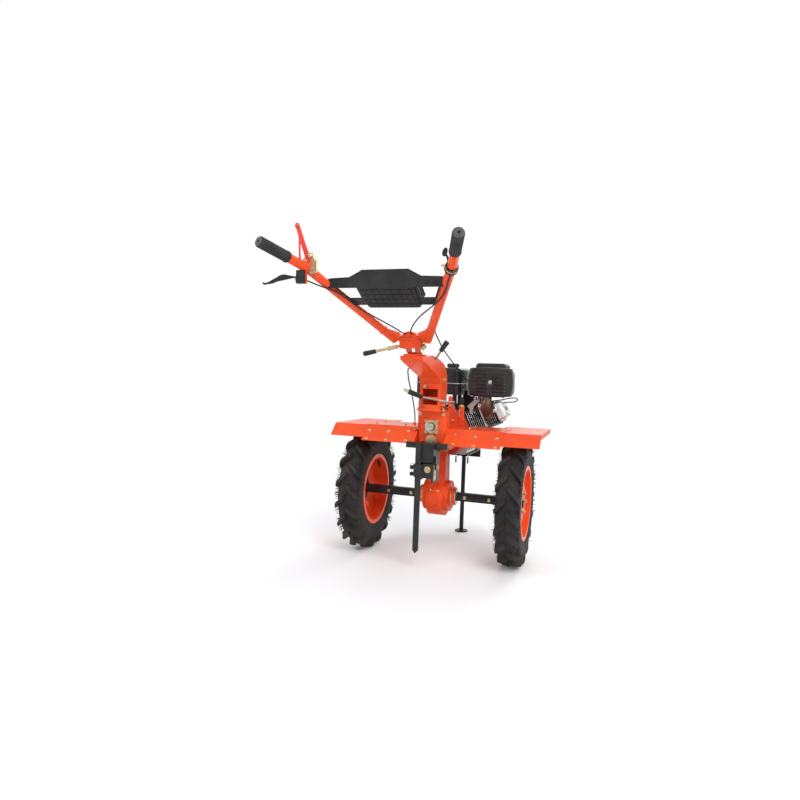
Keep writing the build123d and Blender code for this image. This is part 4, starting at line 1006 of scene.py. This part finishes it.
lead = bowed(lead + [(316, 188, 728), (300, 195, 719), (270, 190, 716), (246, 186, 712)])
made("plug_lead", [tube(lead, 2.4, 10)], knob_black)

# Exhaust
# A steel elbow, browned by heat, bolted to the head by an oval flange with two bright
# nuts. A pressed shield of the same steel stands over it.
heat_look = (0.185, 0.105, 0.070), (0.085, 0.055, 0.042), 26, 0.5
heat = finish("exhaust_steel", "exhaust_steel", *heat_look, metal=0.75, grain=380, depth=1.2e-4)
# The shield on a grid: u runs round it as an arc, v up it, and it swells as a sine.
rows, columns = 21, 17
u, v = np.meshgrid(np.linspace(-1, 1, rows), np.linspace(0, 1, columns), indexing="ij")
hollow = 22 * np.cos(1.25 * u) * np.sin(np.pi * (0.14 + 0.8 * v)) ** 0.6
shield_x = 184 + (20 + 5 * np.sin(np.pi * v)) * np.sin(1.25 * u) + 8 * (v - 0.5)
outer_skin = np.stack([shield_x, 118 - hollow, 664 + 78 * v], -1).reshape(-1, 3)
skin = ring_faces(rows, columns, round_columns=False)


def border_of(rows, columns):
    """The points round the border of a grid, rows by columns, in order."""
    grid = np.arange(rows * columns).reshape(rows, columns)
    return np.concatenate([grid[0], grid[1:, -1], grid[-1, -2::-1], grid[-2:0:-1, 0]])


def strip(low, high):
    """The four-cornered faces between two closed rows of points."""
    return np.stack([low, np.roll(low, -1), np.roll(high, -1), high], 1)


edge, behind = border_of(rows, columns), rows * columns
shield_points = np.concatenate([outer_skin, outer_skin + 2.5 * north])
shield_faces = [*skin, *(skin[:, ::-1] + behind), *strip(edge, edge + behind)]
made("exhaust_shield", [(shield_points, shield_faces)], heat)
flange_way, flange_mid = unit((49, 0, -12)), np.array([184, 141, 684])
t = np.linspace(0, 2 * np.pi, 48, endpoint=False)
oval = np.c_[47 * np.cos(t), 15 * np.sin(t) * (1 + 0.35 * np.abs(np.sin(t)))]
flange_across = np.cross(flange_way, north)
flange = plate(oval, flange_mid, rolled(7, 1), flange_way, flange_across)
made("exhaust_flange", [flange], heat)
nut_places = [flange_mid + flange_way * side * 37 - 7 * north for side in (-1, 1)]
flange_nuts = [bolt(place, -north, 13, 9, stud=4) for place in nut_places]
made("exhaust_nuts", flange_nuts, bright_alu)
dress(heat, "exhaust_pipe")

# Muffler and its guard
# A satin steel box with a slot in its side seam, the slot drawn as a thin black plate of painted
# shade. In front of it, towards the operator, a black pressed guard: two columns of raised
# louvres round a bright middle screw.
satin_look = (0.52, 0.52, 0.53), (0.38, 0.37, 0.37), 12, 0.4
satin = finish("satin_steel", "bare_steel", *satin_look, metal=0.8, grain=600, depth=4e-5)
guard_low, guard_high = (np.array(corner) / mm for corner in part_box("muffler_guard"))
guard_mid, guard_half = (guard_low + guard_high) / 2, (guard_high - guard_low) / 2
# The guard's front on a grid a, b: a bowed rectangle whose edges roll back. Each louvre
# stands out as a ramp that drops at its upper lip, and a dimple takes the screw.
press = np.linspace(-1, 1, 121)
press = np.sign(press) * (1 - (1 - np.abs(press)) ** 1.25)
a, b = np.meshgrid(press, press, indexing="ij")
pull = 0.16
guard_x = guard_half[0] * a * np.sqrt(1 - pull * b**2)
guard_z = guard_half[2] * b * np.sqrt(1 - pull * a**2)
edge_in = np.maximum(np.abs(a), np.abs(b))
guard_y = 8 * np.clip((edge_in - 0.86) / 0.14, 0, 1) ** 2.2 + 3 * a**2
round_screw = np.exp(-((guard_x / 14) ** 2 + (guard_z / 13) ** 2))
for column in (-39, 39):
    for row in range(6):
        across = np.clip(1.12 - np.abs((guard_x - column) / 31) ** 6, 0, 1)
        height = (guard_z - 16.5 * (row - 2.5)) / 8
        over, under = np.clip(1 - height * 3.2, 0, 1), np.clip(1 + height, 0, 1) ** 0.7
        louvre = np.where(height > 0, over, under) * (np.abs(height) < 1)
        guard_y -= 4.5 * across * louvre * (1 - round_screw)
guard_y += 5 * np.exp(-((np.hypot(guard_x, guard_z) / 15) ** 4))
front_y = guard_low[1] + 5.5 + guard_y
front = np.stack([guard_mid[0] + guard_x, front_y, guard_mid[2] + guard_z], -1).reshape(-1, 3)
walk = border_of(press.size, press.size)
skirt = [front[walk] + deep * north for deep in (3, 10, 26, 36, 40)]
skirt.append(skirt[-1] + (guard_mid - skirt[-1]) * (0.03, 0, 0.03))
skirt_rows = np.arange(len(skirt) * walk.size).reshape(len(skirt), -1) + len(front)
steps = [walk, *skirt_rows]
guard_faces = [*ring_faces(press.size, press.size, round_columns=False)]
guard_faces += [face for low, high in zip(steps, steps[1:]) for face in strip(low, high)]
guard = np.concatenate([front, *skirt]), guard_faces
guard = made("muffler_guard_pressed", [guard], black, ["muffler_guard"], sharp=0.9)
wall = guard.modifiers.new("wall", "SOLIDIFY")
wall.thickness = 1.6 * mm
wall.offset = 0
screws = [bolt((guard_mid[0], guard_low[1] + 10, guard_mid[2]), -north, 11, 5)]
low_screws = [(guard_mid[0] + x, guard_low[1] + 30, guard_low[2] + 1) for x in (-60, 60)]
screws += [bolt(place, -up, 9, 4) for place in low_screws]
made("guard_screws", screws, bright_alu)
muffler_face = rounded(188, 118, 18, 6)
seams = [hoop(muffler_face, (200, 138 + y, 809), east, up, 2.4) for y in (10, 80)]
seams.append(plate(rounded(70, 96, 8), (291, 180, 809), [(-1, 0), (1.5, 0), (2.5, 1)], north))
made("muffler_seams", seams, satin)
# The slot is a thin black plate on the side: painted shade where the opening looks dark.
slot_painted_shade = plate(rounded(8, 34, 3.9), (293.2, 172, 812), [(-1, 0), (0.4, 0), (0.8, 0.4)], north)
made("muffler_slot_painted_shade", [slot_painted_shade], knob_black)
dress(satin, "muffler")

# Fuel tank
# Two gloss black pressings, crimped together in a flange, with a ribbed black cap. The flange
# is drawn in pale satin steel as a painted highlight where it catches the light.
gloss_look = (0.012, 0.012, 0.013), (0.020, 0.020, 0.021), 8, 0.2
gloss_black = finish("tank_black", "black_plastic", *gloss_look, coat=0.25, grain=380)
# The crimp hoop's pale steel is a painted highlight on the black flange where it catches the light.
crimp_highlight = hoop(rounded(237, 299, 35, 7), (-63, 280, 796), east, north, 2.2, 10)
made("tank_crimp_painted_highlight", [crimp_highlight], satin)
# The cap: a circle fluted by a cosine, scaled for each ring of its profile.
cap_at, flutes = np.array([-17, 246, 0]), 24
t = np.linspace(0, 2 * np.pi, 96, endpoint=False)
flute = 30.2 - 1.1 * np.cos(flutes * t) ** 4
cap_rings = [(877, 0.93), (878.5, 1), (889, 0.985), (892, 0.95), (894, 0.86), (894, 0.5)]
cap_z, cap_r = np.array([*cap_rings, (892.6, 0.44), (892.6, 0.02)]).T[..., None]
cap_points = np.stack([cap_r * flute * np.cos(t), cap_r * flute * np.sin(t), cap_z + 0 * t], -1)
cap = cap_points.reshape(-1, 3) + cap_at, capped(len(cap_z), t.size)
neck = revolved(cap_at + 870 * up, up, [(0, 27), (4, 26), (9, 25)], 40)
made("fuel_cap_ribbed", [cap, neck], knob_black, ["fuel_cap"])
dress(gloss_black, "fuel_tank")

# Air cleaner and carburettor
# A moulded black box with a step round its cover and two clips, on a shield. Below is the
# carburettor, a bright zinc casting with bowl, rods and springs, and the governor's arm.
step = rounded(154, 142, 15, 6)
cleaner = [hoop(step, (160, 370, z), east, north, 2.2) for z in (796, 868)]
cleaner += [sheet(16, 40, 4, (x, 300, 800), 4, 1) for x in (118, 202)]
made("cleaner_steps", cleaner, tray_black)
dress(tray_black, "air_cleaner", "recoil_starter", "shroud")
lever_plate = [(98, 700), (150, 700), (150, 706), (128, 742), (112, 742)]
long_rod = [(104, 316, 735), (92, 290, 748), (86, 262, 752), (80, 240, 744)]
short_rod = [(118, 316, 722), (104, 292, 738), (96, 268, 742), (92, 250, 736)]
body_plate = [(56, 742), (70, 738), (108, 750), (104, 784), (88, 812), (64, 808), (60, 776)]
silver_bits = [
    revolved((128, 351, 652), -up, [(-4, 18), (6, 20), (22, 19), (27, 15), (28, 6)], 28),
    bolt((128, 351, 624), -up, 12, 6),
    plate(lever_plate, (0, 318, 0), rolled(3, 0.8)),
    tube(long_rod, 1.8, 8),
    tube(short_rod, 1.6, 8),
    revolved((84, 256, 746), (0.3, -1, 0.2), [(-6, 12), (2, 14), (6, 14), (8, 7), (14, 6)], 24),
    revolved((100, 262, 724), (0.2, -1, 0.1), [(-4, 10), (3, 12), (9, 11), (11, 8)], 24),
    revolved((72, 258, 782), (0.1, -1, 0.3), [(-4, 9), (2, 11), (8, 10), (10, 5)], 24),
    plate(body_plate, (0, 264, 0), rolled(4, 0.8)),
    revolved((101, 338, 705), -east, [(-2, 5), (3, 5), (4, 4), (12, 3.4)], 14),
]
made("carburettor_bowl", silver_bits, bright_alu)
dress(bright_alu, "carburettor")
shield = [(28, 661), (104, 661), (110, 700), (112, 748), (98, 762), (44, 762), (28, 744)]
made("intake_shield", [plate(shield, (0, 290, 0), rolled(5, 1.2))], tray_black)
arm = [(86, 690), (100, 674), (100, 652), (112, 652), (118, 690), (146, 716), (146, 728)]
arm = plate([*arm, (118, 720)], (0, 142, 0), rolled(3, 0.8))
made("governor_bracket", [arm, bolt((106, 142, 660), -north, 9, 4)], satin)

# Recoil starter
# A moulded black housing with slots for the cooling air, screwed on the shroud, with a
# pull grip that rests in its guide.
screw_places = ringed((0, 404, 579), north, 4, 106, np.pi / 4)
made("starter_screws", [bolt(place, north, 8, 4) for place in screw_places], zinc)
guide = revolved((-70, 424, 650), (-0.6, 0.2, 0.8), [(0, 11), (12, 11), (14, 8), (16, 8)], 24)
made("starter_pull", [guide, grip_on((-98, 432, 672), (-62, 444, 690), 8)], knob_black)

# Engine carrier and front stand
# Black steel rails carry the engine. A clamp at their front end holds the round leg of
# the stand, with a wing plate part way down and a round foot on the floor.
stand_at = np.array([0, 486, 0])
top_ring = [(-2, 17), (4, 18), (6, 16), (6, 11.6), (-2, 11.6)]
low_ring = [(-2, 17), (8, 17), (10, 15), (10, 11.6), (-2, 11.6)]
collars = [
    revolved(stand_at + 449 * up, up, top_ring, closed=True),
    revolved(stand_at + 415 * up, -up, low_ring, closed=True),
]
made("stand_collars", collars, black)
clamp_lever = [(-17, 486, 432), (-30, 486, 432), (-33, 486, 424), (-33, 486, 402)]
made("stand_clamp", [bolt((18, 486, 432), east, 13, 8), tube(clamp_lever, 4, 10)], zinc)
studs = [tube([(x, 428, 410), (x, 428, 376)], 4, 10) for x in (-30, 34)]
carrier_bolts = [(x, 428, 453) for x in (-80, 80)]
carrier_bolts += [(x, y, 453) for x in (-80, 80) for y in (150, 290)]
studs += [bolt(place, -up, 13, 7) for place in carrier_bolts]
made("carrier_studs", studs, black)
wing_u = np.linspace(-1, 1, 21)
wing_edge = np.c_[40 * wing_u, 15 - 4 * wing_u**2]
wing_outline = np.concatenate([wing_edge, wing_edge[::-1] * (1, -1)])
wings = plate(wing_outline, stand_at + 202 * up, rolled(3.5, 0.8), east, north)
foot_rim = torus(stand_at + 5 * up, up, 32.6, 1.3, 64)
leg_weld = torus(stand_at + 6 * up, up, 12, 1.8, 32)
ring_pin = torus(stand_at + 209 * up, up, 12.4, 2.2, 32)
made("stand_trim", [wings, foot_rim, leg_weld, ring_pin], black, body="front_stand")
dress(black, "engine_frame", "front_stand")
